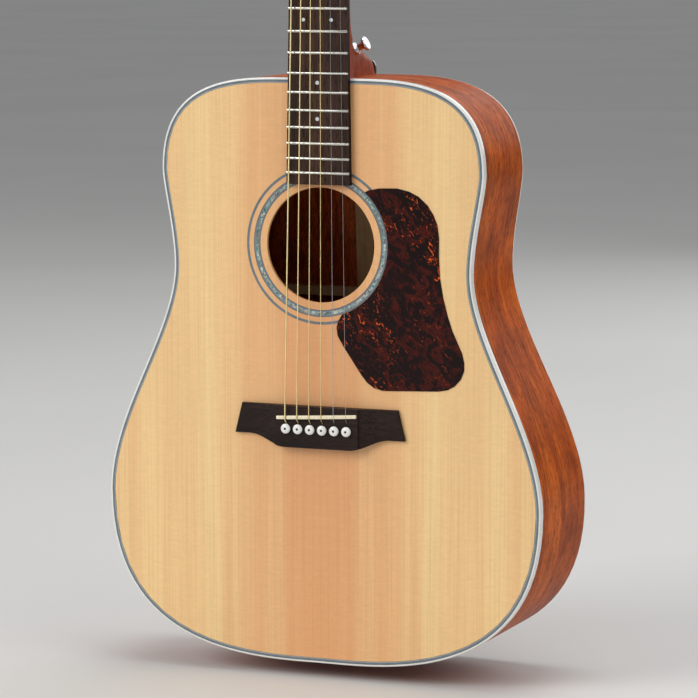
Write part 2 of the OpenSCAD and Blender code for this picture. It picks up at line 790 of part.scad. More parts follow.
// The heel is built up of slices that lie level with the soundboard: distance behind the
// soundboard's face, half width, and length along the neck, from the board to the cap
heel_back_y = face_y + depth_neck - heel_cap_t;
heel_base_half = board_w(body_len) / 2;
heel_mid_half = 19; // half width at half the body's depth
heel_low_half = 15.6; // half width at three quarters of it
heel_slices = [
    [0, heel_base_half, heel_len + 1.5],
    [neck_t_heel + 3, heel_base_half - 6, heel_len + 1],
    [depth_neck / 2, heel_mid_half, heel_len - 3],
    [depth_neck * 3 / 4, heel_low_half, heel_len - 12],
    [depth_neck - heel_cap_t, heel_cap_half, heel_len - 20]];
function squared(v, power) = sign(v) * pow(abs(v), power);
function heel_points(half, length) = concat([[-half, body_len]],
    [for (i = [0 : 16]) let (a = 180 - 180 * i / 16) [half * squared(cos(a), heel_round),
        body_len + length * (heel_root + (1 - heel_root) * squared(sin(a), heel_round))]],
    [[half, body_len]]);
heel_round = 0.6; // power that squares the heel's round outline
heel_root = 0.25; // share of the heel's length that its sides run straight
// Half width and length of the heel at a depth behind the soundboard's face
function heel_at(depth) = [for (k = [1, 2]) lookup(depth, [for (c = heel_slices) [c[0], c[k]]])];
// Half width of the heel at that depth, a height above the body's neck end
function heel_side(depth, up) =
    let (size = heel_at(depth), high = (up / size[1] - heel_root) / (1 - heel_root))
    size[0] * pow(1 - pow(high, 2 / heel_round), heel_round / 2);
module heel() {
    loft([for (c = heel_slices)
        [for (p = heel_points(c[1], c[2])) [p[0], face_y + c[0], p[1]]]]);
}
head_flare_in = 4; // the flare stops this far short of the headstock's half width
head_flare_len = 30;
head_corner = 16; // from the headstock's end to its widest place
head_crown = 7; // rise of the curve across the end
head_crown_in = 8; // the curve starts this far inside the half width
function head_half() = let (w = head_w / 2, n = nut_w / 2) concat(
    [for (i = [0 : 6]) let (t = i / 6)
        [n + (w - head_flare_in - n) * swell(t), head_flare_len * t]],
    [[w, head_len - head_corner]],
    [for (i = [0 : 4]) let (t = i / 4) [(w - head_crown_in) * (1 - t),
        head_len - head_crown + head_crown * sin(90 * t)]]);
module head_outline() {
    polygon(mirrored(head_half()));
}
bushing_hole_r = 5;
module head_holes(y0, y1, r) {
    for (n = [1 : 6]) rod_y(side(n) * post_x, post_z(n), y0, y1, r);
}
rod_y_axis = face_y + 6.2; // truss rod, inside the neck
rod_half = 3;
rod_start_z = body_len + 8;
pocket_w = 11;
pocket_len = 26;
module rod_channel(gap) {
    bar(2 * (rod_half + gap), [face_y - 1, rod_y_axis + rod_half + gap],
        [rod_start_z - gap, nut_z + nut_t / 2]);
    translate([0, rod_y_axis, nut_z]) cylinder(h = nut_t + 2, r = 2.5 + gap);
}
module rod_pocket() {
    bar(pocket_w, [face_y - 4, rod_y_axis + 5], [nut_z + nut_t + 1, nut_z + nut_t + pocket_len]);
}
module neck() {
    color("#8a4a24") difference() {
        union() {
            loft([neck_ring(board_w(body_len + 4), neck_t_heel, body_len + 4),
                neck_ring(board_w(nut_z - volute_len), neck_t_nut, nut_z - volute_len),
                neck_ring(nut_w, neck_t_nut + volute_swell, nut_z + nut_t / 2),
                [for (p = neck_ring(nut_w - 2, head_t - 2, volute_len))
                    head_point([p[0], p[1] - face_y + 1, p[2]])]]);
            on_head() slab(0, head_t) head_outline();
            heel();
        }
        on_head() head_holes(-1, head_t + 1, bushing_hole_r);
        rod_channel(0);
        rod_pocket();
        for (y = neck_bolt_y) translate([0, y, body_len - 1])
            cylinder(h = bolt_bite + 1, r = neck_bolt_r);
        strap_button_place() translate([0, 0, -strap_screw_len])
            cylinder(h = strap_screw_len + 1, r = strap_screw_r);
        strap_button_place() cylinder(h = strap_seat_cut, r = strap_flange_r);
    }
}
module heel_cap() {
    last = heel_slices[len(heel_slices) - 1];
    color("black") slab(heel_back_y, heel_back_y + heel_cap_t)
        polygon(heel_points(last[1], last[2]));
}
bolt_bite = 16; // how far each neck bolt goes into the heel
washer_r = 9;
washer_t = 2;
bolt_head_r = 5.6;
bolt_head_t = 4;
module neck_bolts() {
    z0 = body_len - side_t - neck_block_t - washer_t;
    color("gray") for (y = neck_bolt_y) translate([0, y, z0]) {
        cylinder(h = washer_t + neck_block_t + side_t + bolt_bite, r = neck_bolt_r);
        cylinder(h = washer_t, r = washer_r);
        translate([0, 0, -bolt_head_t]) cylinder(h = bolt_head_t + eps, r = bolt_head_r,
            $fn = 6);
    }
}

// ---- strap button, end pin and the other screws ----
strap_screw_r = 1.6;
strap_screw_len = 12;
strap_button_depth = 34; // behind the soundboard's face
strap_button_up = 24; // above the body's neck end
strap_seat_cut = 3; // height of the flat that is cut on the heel for the button's foot
strap_turn = 64; // direction in which the button points, away from the neck's axis
module strap_button_place() {
    translate([heel_side(strap_button_depth, strap_button_up), face_y + strap_button_depth,
        body_len + strap_button_up])
        rotate([0, strap_turn, 0]) children();
}
strap_waist_r = 3.4;
strap_flange_r = 6.4;
strap_len = 12;
strap_sink = 1.4; // how far a strap button's countersink opens beyond its screw
strap_sink_depth = 2.2;
foot_in = 0.6; // a spool's foot is this much smaller than its head
foot_t = 1.2;
head_rim_t = 1.6;
head_edge = 0.8;
cone_len = 2.2; // from the waist out to the foot or the head
// A spool's outer profile: foot, waist and a wider head
function spool_profile(length, waist, head) = [[head - foot_in, 0], [head - foot_in, foot_t],
    [waist, foot_t + cone_len], [waist, length - head_rim_t - head_edge - cone_len],
    [head, length - head_rim_t - head_edge], [head, length - head_edge],
    [head - head_edge, length]];
module strap_button() {
    color("silver") strap_button_place() rotate_extrude() polygon(concat(
        [[strap_screw_r, 0]], spool_profile(strap_len, strap_waist_r, strap_flange_r),
        [[strap_screw_r + strap_sink, strap_len],
        [strap_screw_r, strap_len - strap_sink_depth]]));
}
end_head_r = 7;
end_waist_r = 4.6;
end_len = 13;
module end_pin() {
    color("silver") {
        rotate([180, 0, 0]) rotate_extrude() polygon(concat([[0, 0]],
            spool_profile(end_len, end_waist_r, end_head_r), [[0, end_len]]));
        translate([0, 0, -eps]) cylinder(h = end_pin_len, r = end_pin_shank_r);
    }
}
cross_w = 0.5; // width and depth of the cross cut into a screw's head
// A screw whose head sits on z = 0 and whose shank runs down
module screw(head_r, head_h, shank_r, length) {
    difference() {
        union() {
            cylinder(h = head_h, r1 = head_r, r2 = head_r * 0.8);
            translate([0, 0, -length]) cylinder(h = length + eps, r = shank_r);
        }
        for (a = [0, 90]) rotate([0, 0, a])
            translate([-head_r * 0.55, -cross_w / 2, head_h - cross_w])
                cube([head_r * 1.1, cross_w, 2 * cross_w]);
    }
}
cover_t = 1.6;
cover_screws = [[-7.2, 5.5], [7.2, 5.5], [0, 36.5]];
cover_screw_r = 0.8;
tab_screw_r = 1;
tab_drop = 14.5; // a tuner's screw tab lies this far from its post, away from the nut
module screws() {
    color("silver") {
        on_head() for (p = cover_screws) translate([p[0], -veneer_t - cover_t, p[1]])
            rotate([90, 0, 0]) screw(1.7, 0.7, cover_screw_r, cover_t + veneer_t + 4);
        on_head() for (n = [1 : 6])
            translate([side(n) * post_x, head_t + tab_t, post_z(n) + tab_drop])
                rotate([-90, 0, 0]) screw(2, 0.8, tab_screw_r, tab_t + 8);
        strap_button_place() {
            translate([0, 0, strap_len - 2.2]) cylinder(h = 2, r1 = strap_screw_r, r2 = 2.9);
            translate([0, 0, -strap_screw_len]) cylinder(h = strap_len + 10, r = strap_screw_r);
        }
    }
}

// ---- truss rod ----
thread_r = 2.5;
rod_nut_from = nut_z + nut_t + 3;
rod_nut_len = 11;
module truss_rod() {
    color("gray") {
        bar(2 * rod_half, [rod_y_axis - rod_half, rod_y_axis + rod_half],
            [rod_start_z, nut_z + nut_t / 2]);
        translate([0, rod_y_axis, nut_z]) cylinder(h = nut_t + 8, r = thread_r);
    }
}
module truss_rod_nut() {
    color("goldenrod") translate([0, rod_y_axis, rod_nut_from]) difference() {
        cylinder(h = rod_nut_len, r = 4, $fn = 6);
        translate([0, 0, -1]) cylinder(h = 8, r = thread_r + run_gap);
        translate([0, 0, 6]) cylinder(h = rod_nut_len, r = 2, $fn = 6);
    }
}
cover_half = 10.5;
cover_tip_half = 4;
cover_from = 1.5; // from the nut
cover_sides_to = 9; // where its straight sides end
cover_shoulder_in = 1;
cover_sweep_from = 12;
cover_sweep = 20; // length of its swept sides
cover_len = 40.5;
module cover_outline() {
    shoulder = cover_half - cover_shoulder_in;
    polygon(mirrored(concat([[cover_half, cover_from], [cover_half, cover_sides_to]],
        [for (i = [0 : 6]) let (t = i / 6)
            [shoulder - (shoulder - cover_tip_half) * swell(t), cover_sweep_from + cover_sweep * t]],
        [[cover_tip_half * 0.9, cover_len - cover_tip_half / 2],
        [cover_tip_half / 2, cover_len]])));
}
module truss_rod_cover() {
    color("#202020") on_head() difference() {
        slab(-veneer_t - cover_t, -veneer_t) cover_outline();
        for (p = cover_screws) rod_y(p[0], p[1], -veneer_t - cover_t - 1, 1, cover_screw_r);
    }
}
module head_veneer() {
    color("#241a16") difference() {
        on_head() difference() {
            slab(-veneer_t, 0) head_outline();
            head_holes(-veneer_t - 1, 1, bushing_hole_r);
            for (p = cover_screws) rod_y(p[0], p[1], -veneer_t - 1, 1, cover_screw_r);
        }
        rod_pocket();
    }
}

// ---- tuners, in the headstock's own frame ----
case_w = 17; // across the headstock
case_l = 21; // along the headstock
case_t = 10.5;
case_wall = 1.5;
tab_t = 2;
wheel_r = 4.6;
wheel_t = 4;
worm_r = 1.9;
mesh_gap = 0.3;
worm_off = wheel_r + worm_r + mesh_gap; // worm axis towards the nut, from the post's axis
worm_y = head_t + case_wall + case_t / 2 - 0.6;
case_mid = -3.2; // middle of the case, from the post's axis
collar_end = head_w / 2 + 1.6; // where the collar round a key's shaft ends
button_half_x = 7.6;
button_half_z = 10;
button_t = 8.4;
button_x = collar_end + 1.4 + button_half_x;
module tuner_case(n) {
    s = side(n);
    z = post_z(n);
    difference() {
        union() {
            bar(case_w, [head_t, head_t + case_t],
                [z + case_mid - case_l / 2, z + case_mid + case_l / 2], s * post_x);
            bar(case_w * 0.5, [head_t, head_t + tab_t],
                [z + case_mid, z + tab_drop], s * post_x);
            rod_y(s * post_x, z + tab_drop, head_t, head_t + tab_t, case_w * 0.25);
            mirror([s > 0 ? 0 : 1, 0, 0]) rod_x(post_x + case_w / 2 - 1, collar_end, worm_y,
                z - worm_off, 4);
        }
        bar(case_w - 2 * case_wall, [head_t + case_wall, head_t + case_t - case_wall],
            [z + case_mid - case_l / 2 + case_wall, z + case_mid + case_l / 2 - case_wall],
            s * post_x);
        rod_y(s * post_x, z, head_t - 1, head_t + 2 * case_wall, post_r + run_gap);
        mirror([s > 0 ? 0 : 1, 0, 0]) rod_x(post_x, collar_end + 1, worm_y, z - worm_off,
            key_r + run_gap);
        rod_y(s * post_x, z + tab_drop, head_t - 1, head_t + tab_t + 1, tab_screw_r);
    }
}
module tuner_housings() {
    color("silver") on_head() for (n = [1 : 6]) tuner_case(n);
}
flange_r = 7;
flange_t = 2.4;
bushing_short = 4; // the bushing stops this far inside the headstock's back
module tuner_bushings() {
    color("silver") on_head() for (n = [1 : 6]) difference() {
        union() {
            rod_y(side(n) * post_x, post_z(n), -veneer_t - flange_t, -veneer_t, flange_r);
            rod_y(side(n) * post_x, post_z(n), -veneer_t - eps, head_t - bushing_short,
                bushing_hole_r);
        }
        rod_y(side(n) * post_x, post_z(n), -veneer_t - flange_t - 1, head_t,
            post_r + run_gap);
    }
}
post_rise = 15; // above the bushing's flange
post_hole_r = 0.9;
post_hole_rise = 8.6; // above the headstock's wood, where the last turn goes in
module wheel_shape() {
    polygon([for (i = [0 : 4 * wheel_teeth - 1])
        let (a = 90 * i / wheel_teeth, r = wheel_r - (i % 4 < 2 ? 0 : 0.8))
        r * [cos(a), sin(a)]]);
}
module tuner_post(n) {
    top = -veneer_t - flange_t - post_rise;
    color("silver") on_head() translate([side(n) * post_x, 0, post_z(n)]) difference() {
        union() {
            rod_y(0, 0, top, head_t + case_t - case_wall - mesh_gap, post_r);
            slab(worm_y - wheel_t / 2, worm_y + wheel_t / 2) wheel_shape();
        }
        rod_x(-2 * post_r, 2 * post_r, -post_hole_rise, 0, post_hole_r);
    }
}
worm_half = 5;
spindle_r = worm_r - 0.3; // the plain shaft on both sides of the worm
key_screw_r = 3; // head of the screw that holds a button on its shaft
key_screw_t = 1;
module tuner_key(n) {
    button_end = button_x + button_half_x;
    case_inside = case_w / 2 - case_wall;
    color("silver") on_head() mirror([side(n) > 0 ? 0 : 1, 0, 0])
        translate([0, worm_y, post_z(n) - worm_off]) {
            rod_x(post_x - case_inside + 2 * mesh_gap, button_x, 0, 0, spindle_r);
            rod_x(post_x - worm_half, post_x + worm_half, 0, 0, worm_r);
            rod_x(post_x + case_inside - mesh_gap, button_end, 0, 0, key_r);
            slab(-button_t / 2, button_t / 2) translate([button_x, 0])
                polygon([for (i = [0 : 35]) [button_half_x * cos(10 * i),
                    button_half_z * sin(10 * i)]]);
            rod_x(button_end - eps, button_end + key_screw_t, 0, 0, key_screw_r);
        }
}

soundboard();
back();
side_bass();
side_treble();
top_binding();
back_binding();
top_purfling();
top_lining();
back_lining();
neck_block();
tail_block();
x_braces();
top_bars();
bridge_plate();
back_bracing();
rosette();
pickguard();
bridge();
saddle();
neck();
fingerboard();
frets();
position_dots();
nut();
truss_rod();
truss_rod_cover();
head_veneer();
tuner_housings();
tuner_bushings();
screws();
strap_button();
end_pin();
heel_cap();
neck_bolts();
truss_rod_nut();
for (n = [1 : 6]) {
    bridge_pin(n);
    string(n);
    tuner_key(n);
    tuner_post(n);
}
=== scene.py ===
"""Looks of a flat-top acoustic guitar: its woods, plastics, shell, bone and metal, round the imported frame.

+Z runs along the neck, the soundboard faces -Y and the treble side is +X. Lengths are in metres,
and MM turns a size in millimetres into metres. Points nearer than WELD are joined. Faces that
turn by less than FLAT_TURN degrees are one face, and SHARP_TURN degrees make a sharp edge.
"""

import json
import logging
import math
from collections.abc import Callable, Sequence
from dataclasses import dataclass, field
from enum import Enum

import bmesh
import bpy
from mathutils import Matrix, Vector


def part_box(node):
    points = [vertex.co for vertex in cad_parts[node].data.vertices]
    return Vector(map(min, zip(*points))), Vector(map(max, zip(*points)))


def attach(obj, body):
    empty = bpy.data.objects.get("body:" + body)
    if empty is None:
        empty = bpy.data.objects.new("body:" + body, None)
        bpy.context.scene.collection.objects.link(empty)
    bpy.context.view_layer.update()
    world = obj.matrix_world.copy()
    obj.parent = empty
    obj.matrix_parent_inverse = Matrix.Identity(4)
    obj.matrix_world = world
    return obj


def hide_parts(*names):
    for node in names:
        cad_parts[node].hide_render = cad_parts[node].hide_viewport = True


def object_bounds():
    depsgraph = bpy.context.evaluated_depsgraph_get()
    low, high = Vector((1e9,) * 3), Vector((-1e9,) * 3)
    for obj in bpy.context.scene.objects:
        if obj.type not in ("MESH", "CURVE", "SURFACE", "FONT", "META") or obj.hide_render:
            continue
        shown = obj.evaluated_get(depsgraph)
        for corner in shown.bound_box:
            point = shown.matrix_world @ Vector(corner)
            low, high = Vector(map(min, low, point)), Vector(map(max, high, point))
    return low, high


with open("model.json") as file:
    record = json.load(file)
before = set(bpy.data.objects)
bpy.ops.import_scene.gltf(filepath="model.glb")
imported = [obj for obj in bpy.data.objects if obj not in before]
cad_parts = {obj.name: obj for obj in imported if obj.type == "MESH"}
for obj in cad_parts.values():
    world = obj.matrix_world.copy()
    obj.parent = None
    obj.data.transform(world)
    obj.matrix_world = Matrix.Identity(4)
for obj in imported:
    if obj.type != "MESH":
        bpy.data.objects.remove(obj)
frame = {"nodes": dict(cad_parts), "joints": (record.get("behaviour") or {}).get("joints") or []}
CAD_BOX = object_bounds()
LOG = logging.getLogger("guitar")
MM = 0.001
WELD = 0.001 * MM
FLAT_TURN = 0.03
SHARP_TURN = 35.0
HOLE_R = 49.3 * MM
STRINGS = range(1, 7)
Colour = tuple[float, float, float]
Socket = bpy.types.NodeSocket
Rule = Callable[[bmesh.types.BMEdge], bool]


def shown(red: int, green: int, blue: int) -> Colour:
    """A linear colour from the three display values, each from 0 to 255."""
    return tuple(
        v / 255 / 12.92 if v <= 10 else ((v / 255 + 0.055) / 1.055) ** 2.4
        for v in (red, green, blue)
    )


# ---------------------------------------------------------------- finishes


class Grain(Enum):
    """The way that a wood's grain runs."""

    NECK = "z"
    WIDTH = "x"
    UNWRAPPED = "u"


class Graph:
    """A material's node tree, with short calls for what the finishes need."""

    def __init__(self, name: str, **uniform: float) -> None:
        """Makes the material.

        Args:
            name: The material's name.
            **uniform: Values for the shader's own sockets, with _ for a space.
        """
        self.material = bpy.data.materials.new(name)
        self.material.use_nodes = True
        self.tree = self.material.node_tree
        self.shader = self.tree.nodes["Principled BSDF"]
        for key, value in uniform.items():
            self.shader.inputs[key.replace("_", " ")].default_value = value

    def add(self, kind: str, *values: object, out: int = 0, **settings: object) -> Socket:
        """Adds a node.

        Args:
            kind: The node's type, without its ShaderNode prefix.
            *values: Its inputs in order: a socket, a number, a colour, or None to leave one.
            out: Which output to return.
            **settings: Properties of the node.

        Returns:
            One of the node's outputs.
        """
        node = self.tree.nodes.new("ShaderNode" + kind)
        for key, value in settings.items():
            setattr(node, key, value)
        for socket, value in zip(node.inputs, values):
            self.put(socket, value)
        return node.outputs[out]

    def put(self, socket: Socket, value: object) -> None:
        """Links a socket to another one, or gives it a value."""
        if isinstance(value, Socket):
            self.tree.links.new(value, socket)
        elif value is not None:
            size = len(socket.default_value) if hasattr(socket.default_value, "__len__") else 0
            socket.default_value = (*value, 1.0) if size == 4 and len(value) == 3 else value

    def space(self, grain: Grain, bookmatched: bool = False) -> Socket:
        """Coordinates turned so that the third one runs along the grain.

        Args:
            grain: The way that the grain runs.
            bookmatched: Whether both halves mirror each other about the centreline.

        Returns:
            A vector in metres.
        """
        place = self.add("TexCoord", out=2 if grain is Grain.UNWRAPPED else 3)
        split = self.add("SeparateXYZ", place).node
        x, y, z = split.outputs
        if bookmatched:
            x = self.calc("ABSOLUTE", x)
        order = {Grain.NECK: (x, y, z), Grain.WIDTH: (z, y, x), Grain.UNWRAPPED: (y, z, x)}
        return self.add("CombineXYZ", *order[grain])

    def calc(self, operation: str, a: object, b: object = None) -> Socket:
        """One step of arithmetic on two values."""
        return self.add("Math", a, b, operation=operation)

    def noise(self, space: Socket, rates: Sequence[float], detail: float = 2.0,
              warp: float = 0.0) -> Socket:
        """Noise from 0 to 1 with its own number of features per metre along each axis."""
        scaled = self.add("VectorMath", space, tuple(rates), operation="MULTIPLY")
        return self.add("TexNoise", scaled, None, 1.0, detail, 0.55, 2.0, None, None, warp)

    def remap(self, value: Socket, low: float, high: float, to_low: float = 0.0,
              to_high: float = 1.0) -> Socket:
        """Stretches a value from one range to another, and holds it there."""
        return self.add("MapRange", value, low, high, to_low, to_high)

    def mix(self, share: object, a: object, b: object, how: str = "MIX") -> Socket:
        """Mixes two colours."""
        node = self.add("Mix", data_type="RGBA", blend_type=how).node
        for index, value in ((0, share), (6, a), (7, b)):
            self.put(node.inputs[index], value)
        return node.outputs[2]

    def ramp(self, value: Socket, *stops: tuple[float, Colour]) -> Socket:
        """A colour for each value, through the stops.

        Args:
            value: From 0 to 1.
            *stops: A place on that range and the colour there, in order.

        Returns:
            The colour.
        """
        node = self.add("ValToRGB", value).node
        row = node.color_ramp.elements
        row.remove(row[1])
        row[0].position = stops[0][0]
        row[0].color = (*stops[0][1], 1.0)
        for at, colour in stops[1:]:
            row.new(at).color = (*colour, 1.0)
        return node.outputs[0]

    def colour(self, value: Socket) -> None:
        """Links the shader's base colour."""
        self.put(self.shader.inputs["Base Color"], value)

    def roughness(self, value: Socket) -> None:
        """Links the shader's roughness."""
        self.put(self.shader.inputs["Roughness"], value)

    def bump(self, height: Socket, depth: float, strength: float = 1.0) -> None:
        """Gives the surface a relief.

        Args:
            height: From 0 to 1.
            depth: What a height of 1 stands for, in metres.
            strength: How much of it shows.
        """
        node = self.add("Bump").node
        self.put(node.inputs["Height"], height)
        self.put(node.inputs["Distance"], depth)
        self.put(node.inputs["Strength"], strength)
        self.put(self.shader.inputs["Normal"], node.outputs[0])


@dataclass(frozen=True)
class Finish:
    """A surface finish, which makes its material when it is first asked for."""

    name: str

    def paint(self) -> Graph:
        """Makes the node tree."""
        raise NotImplementedError

    def material(self) -> bpy.types.Material:
        """The finish's material."""
        return bpy.data.materials.get(self.name) or self.paint().material


@dataclass(frozen=True)
class Spruce(Finish):
    """Bookmatched spruce: straight fine rings, warm bands and a silky ripple across them."""

    pale: Colour = shown(250, 214, 152)
    warm: Colour = shown(234, 170, 114)
    ring: Colour = shown(205, 142, 88)
    warm_half: float = 105 * MM

    def paint(self) -> Graph:
        """Makes the node tree."""
        g = Graph(self.name, Coat_Weight=0.25, Coat_Roughness=0.18)
        space = g.space(Grain.NECK, bookmatched=True)
        across = g.calc("ABSOLUTE", g.add("SeparateXYZ", space))
        middle = g.remap(across, 0.0, self.warm_half, 0.72, 0.0)
        bands = g.remap(g.noise(space, (48, 8, 1.3), 3.0), 0.3, 0.72, 0.0, 0.52)
        base = g.mix(g.calc("ADD", middle, bands), self.pale, self.warm)
        rings = g.remap(g.noise(space, (780, 60, 4.5), 3.0, 0.15), 0.46, 0.76, 0.0, 0.34)
        base = g.mix(rings, base, self.ring)
        silk = g.remap(g.noise(space, (95, 40, 360), 4.0, 1.4), 0.3, 0.7, 0.945, 1.025)
        broad = g.remap(g.noise(space, (10, 4, 3), 2.0), 0.3, 0.7, 0.96, 1.03)
        g.colour(g.mix(1.0, base, g.calc("MULTIPLY", silk, broad), "MULTIPLY"))
        g.roughness(g.remap(rings, 0.0, 0.4, 0.42, 0.5))
        g.bump(rings, 0.02 * MM, 0.25)
        return g


@dataclass(frozen=True)
class Hardwood(Finish):
    """A hardwood with wide bands, dark streaks and open pores along its grain."""

    light: Colour
    body: Colour
    dark: Colour
    grain: Grain = Grain.NECK
    bookmatched: bool = False
    streaks: float = 0.7
    pores: float = 0.8
    ribbon: float = 0.3
    rough: float = 0.4
    gloss: float = 0.12
    coat: float = 0.0
    # Whether faces turned sideways, such as the fingerboard's edges, get painted shade in the dark colour.
    painted_edge_shade: bool = False

    def paint(self) -> Graph:
        """Makes the node tree."""
        g = Graph(self.name, Coat_Weight=self.coat, Coat_Roughness=0.16,
                  Specular_IOR_Level=self.gloss)
        space = g.space(self.grain, self.bookmatched)
        bands = g.remap(g.noise(space, (42, 42, 2.4), 3.0, 0.7), 0.33, 0.67)
        base = g.mix(bands, self.body, self.light)
        ribbon = g.remap(g.noise(space, (24, 24, 17), 2.0, 1.1), 0.35, 0.72, 0.0, self.ribbon)
        base = g.mix(ribbon, base, self.dark)
        streaks = g.noise(space, (460, 460, 24), 4.0, 0.8)
        base = g.mix(g.remap(streaks, 0.47, 0.68, 0.0, self.streaks), base, self.dark)
        pores = g.remap(g.noise(space, (1150, 1150, 130), 2.0, 0.3), 0.54, 0.66)
        base = g.mix(g.calc("MULTIPLY", pores, self.pores), base, self.dark)
        # Painted shade: faces whose normal points mostly along X are mixed towards the dark colour.
        if self.painted_edge_shade:
            facing = g.calc("ABSOLUTE", g.add("SeparateXYZ", g.add("NewGeometry", out=1)))
            base = g.mix(g.remap(facing, 0.8, 0.9), base, self.dark)
        g.colour(base)
        g.roughness(g.remap(pores, 0.0, 1.0, self.rough, min(1.0, self.rough + 0.25)))
        g.bump(g.calc("SUBTRACT", 1.0, pores), 0.05 * MM, 0.3 if self.coat < 0.5 else 0.12)
        return g


@dataclass(frozen=True)
class Plastic(Finish):
    """Moulded or sheet plastic, bone or paint, with a faint cloud in its colour."""

    tone: Colour
    cloud: Colour
    rough: float = 0.25
    coat: float = 0.5
    rates: tuple[float, float, float] = (60, 60, 60)

    def paint(self) -> Graph:
        """Makes the node tree."""
        g = Graph(self.name, Coat_Weight=self.coat, Coat_Roughness=0.06)
        space = g.space(Grain.NECK)
        g.colour(g.mix(g.remap(g.noise(space, self.rates, 3.0, 0.4), 0.3, 0.7), self.tone,
                       self.cloud))
        scuffs = g.noise(space, (900, 900, 900), 2.0)
        g.roughness(g.remap(scuffs, 0.3, 0.7, self.rough * 0.8, self.rough * 1.25))
        return g


@dataclass(frozen=True)
class Tortoise(Finish):
    """Dark tortoise plastic: red-brown clouds with thin bright flecks in them."""

    ground: Colour = shown(27, 16, 16)
    cloud: Colour = shown(74, 24, 17)
    fleck: Colour = shown(236, 98, 32)

    def paint(self) -> Graph:
        """Makes the node tree."""
        g = Graph(self.name, Roughness=0.22, Specular_IOR_Level=0.12)
        space = g.space(Grain.NECK)
        slope = g.add("VectorRotate", space, None, (0, 1, 0), 0.7)
        clouds = g.noise(slope, (95, 40, 60), 4.0, 1.2)
        base = g.ramp(clouds, (0.50, self.ground), (0.60, self.cloud), (0.70, self.ground))
        thin = g.noise(slope, (330, 120, 150), 3.0, 1.6)
        where = g.noise(space, (26, 26, 22), 2.0)
        flecks = g.calc("MULTIPLY", g.remap(thin, 0.62, 0.68), g.remap(where, 0.46, 0.60))
        base = g.mix(g.calc("MULTIPLY", g.remap(thin, 0.54, 0.64), 0.6), base, self.cloud)
        g.colour(g.mix(flecks, base, self.fleck))
        return g


@dataclass(frozen=True)
class Shell(Finish):
    """Shell inlay: small tiles of green, grey, cream and near-black."""

    def paint(self) -> Graph:
        """Makes the node tree."""
        g = Graph(self.name, Roughness=0.22, Coat_Weight=0.8, Coat_Roughness=0.04)
        space = g.space(Grain.NECK)
        scaled = g.add("VectorMath", space, (520, 200, 520), operation="MULTIPLY")
        tiles = g.add("TexVoronoi", scaled, None, 1.0, out=1)
        first = g.add("SeparateColor", tiles)
        swirl = g.noise(space, (420, 200, 420), 3.0, 2.0)
        value = g.calc("ADD", g.calc("MULTIPLY", first, 0.7), g.calc("MULTIPLY", swirl, 0.4))
        g.colour(g.ramp(value, (0.14, shown(26, 32, 34)), (0.28, shown(92, 140, 134)),
                        (0.42, shown(150, 160, 164)), (0.56, shown(52, 60, 66)),
                        (0.68, shown(206, 196, 184)), (0.82, shown(104, 150, 142)),
                        (0.94, shown(228, 236, 226))))
        return g


@dataclass(frozen=True)
class Metal(Finish):
    """Metal with fine marks of its polishing or drawing."""

    tone: Colour
    rough: float = 0.18
    rates: tuple[float, float, float] = (900, 900, 60)
    windings: float = 0.0
    dull: float = 0.82

    def paint(self) -> Graph:
        """Makes the node tree."""
        g = Graph(self.name, Metallic=1.0)
        space = g.space(Grain.NECK)
        marks = g.noise(space, self.rates, 3.0)
        dull = tuple(v * self.dull for v in self.tone)
        g.colour(g.mix(g.remap(marks, 0.35, 0.7), self.tone, dull))
        g.roughness(g.remap(marks, 0.3, 0.7, self.rough * 0.8, self.rough * 1.3))
        if self.windings:
            along = g.add("SeparateXYZ", space, out=2)
            turns = g.calc("PINGPONG", g.calc("MULTIPLY", along, 2 * self.windings), 1.0)
            g.bump(turns, 0.12 * MM, 0.5)
        else:
            g.bump(marks, 0.01 * MM, 0.1)
        return g


SPRUCE = Spruce("spruce_top")
SIDE_WOOD = Hardwood("mahogany_sides", shown(232, 116, 28), shown(190, 78, 12), shown(88, 28, 4),
                     Grain.UNWRAPPED, gloss=0.03, ribbon=0.6, rough=0.34)
BACK_WOOD = Hardwood("mahogany_back", shown(206, 98, 36), shown(168, 66, 19), shown(78, 25, 8),
                     bookmatched=True, coat=0.08, ribbon=0.4, rough=0.3)
NECK_WOOD = Hardwood("mahogany_neck", shown(190, 84, 26), shown(156, 60, 16), shown(82, 26, 8),
                     gloss=0.05, ribbon=0.15, streaks=0.5, rough=0.36)
BOARD_WOOD = Hardwood("rosewood_board", shown(84, 58, 44), shown(56, 39, 31), shown(22, 16, 14),
                      ribbon=0.2, rough=0.5, coat=0.05, painted_edge_shade=True)
BRIDGE_WOOD = Hardwood("rosewood_bridge", shown(56, 40, 34), shown(42, 30, 27), shown(20, 15, 14),
                       Grain.WIDTH, ribbon=0.3, rough=0.45, coat=0.05)
HEAD_WOOD = Hardwood("rosewood_head", shown(74, 48, 38), shown(48, 32, 27), shown(20, 14, 12),
                     ribbon=0.3, coat=0.8)
RAW_WOOD = Hardwood("raw_wood", shown(206, 170, 124), shown(190, 150, 104), shown(140, 100, 64),
                    ribbon=0.1, streaks=0.3, pores=0.2, rough=0.7)
WHITE_EDGE = Plastic("white_binding", shown(240, 240, 236), shown(228, 228, 222))
GREY_LINE = Plastic("grey_line", shown(112, 124, 130), shown(98, 110, 118), 0.3)
DARK_LINE = Plastic("dark_line", shown(58, 58, 60), shown(44, 44, 46), 0.35)
PALE_LINE = Plastic("pale_line", shown(206, 208, 206), shown(190, 194, 194), 0.3)
BONE = Plastic("polished_bone", shown(250, 240, 208), shown(236, 222, 182), 0.28, 0.4, (500, 200, 60))
PIN_WHITE = Plastic("pin_white", shown(246, 246, 244), shown(234, 232, 226), 0.18, 0.8)
BLACK = Plastic("black_gloss", shown(22, 22, 23), shown(30, 30, 31), 0.2, 0.7)
DOT_WHITE = Plastic("dot_white", shown(236, 236, 232), shown(198, 208, 212), 0.2, 0.6,
                    (700, 300, 700))
TORTOISE = Tortoise("tortoise_sheet")
SHELL = Shell("shell_tiles")
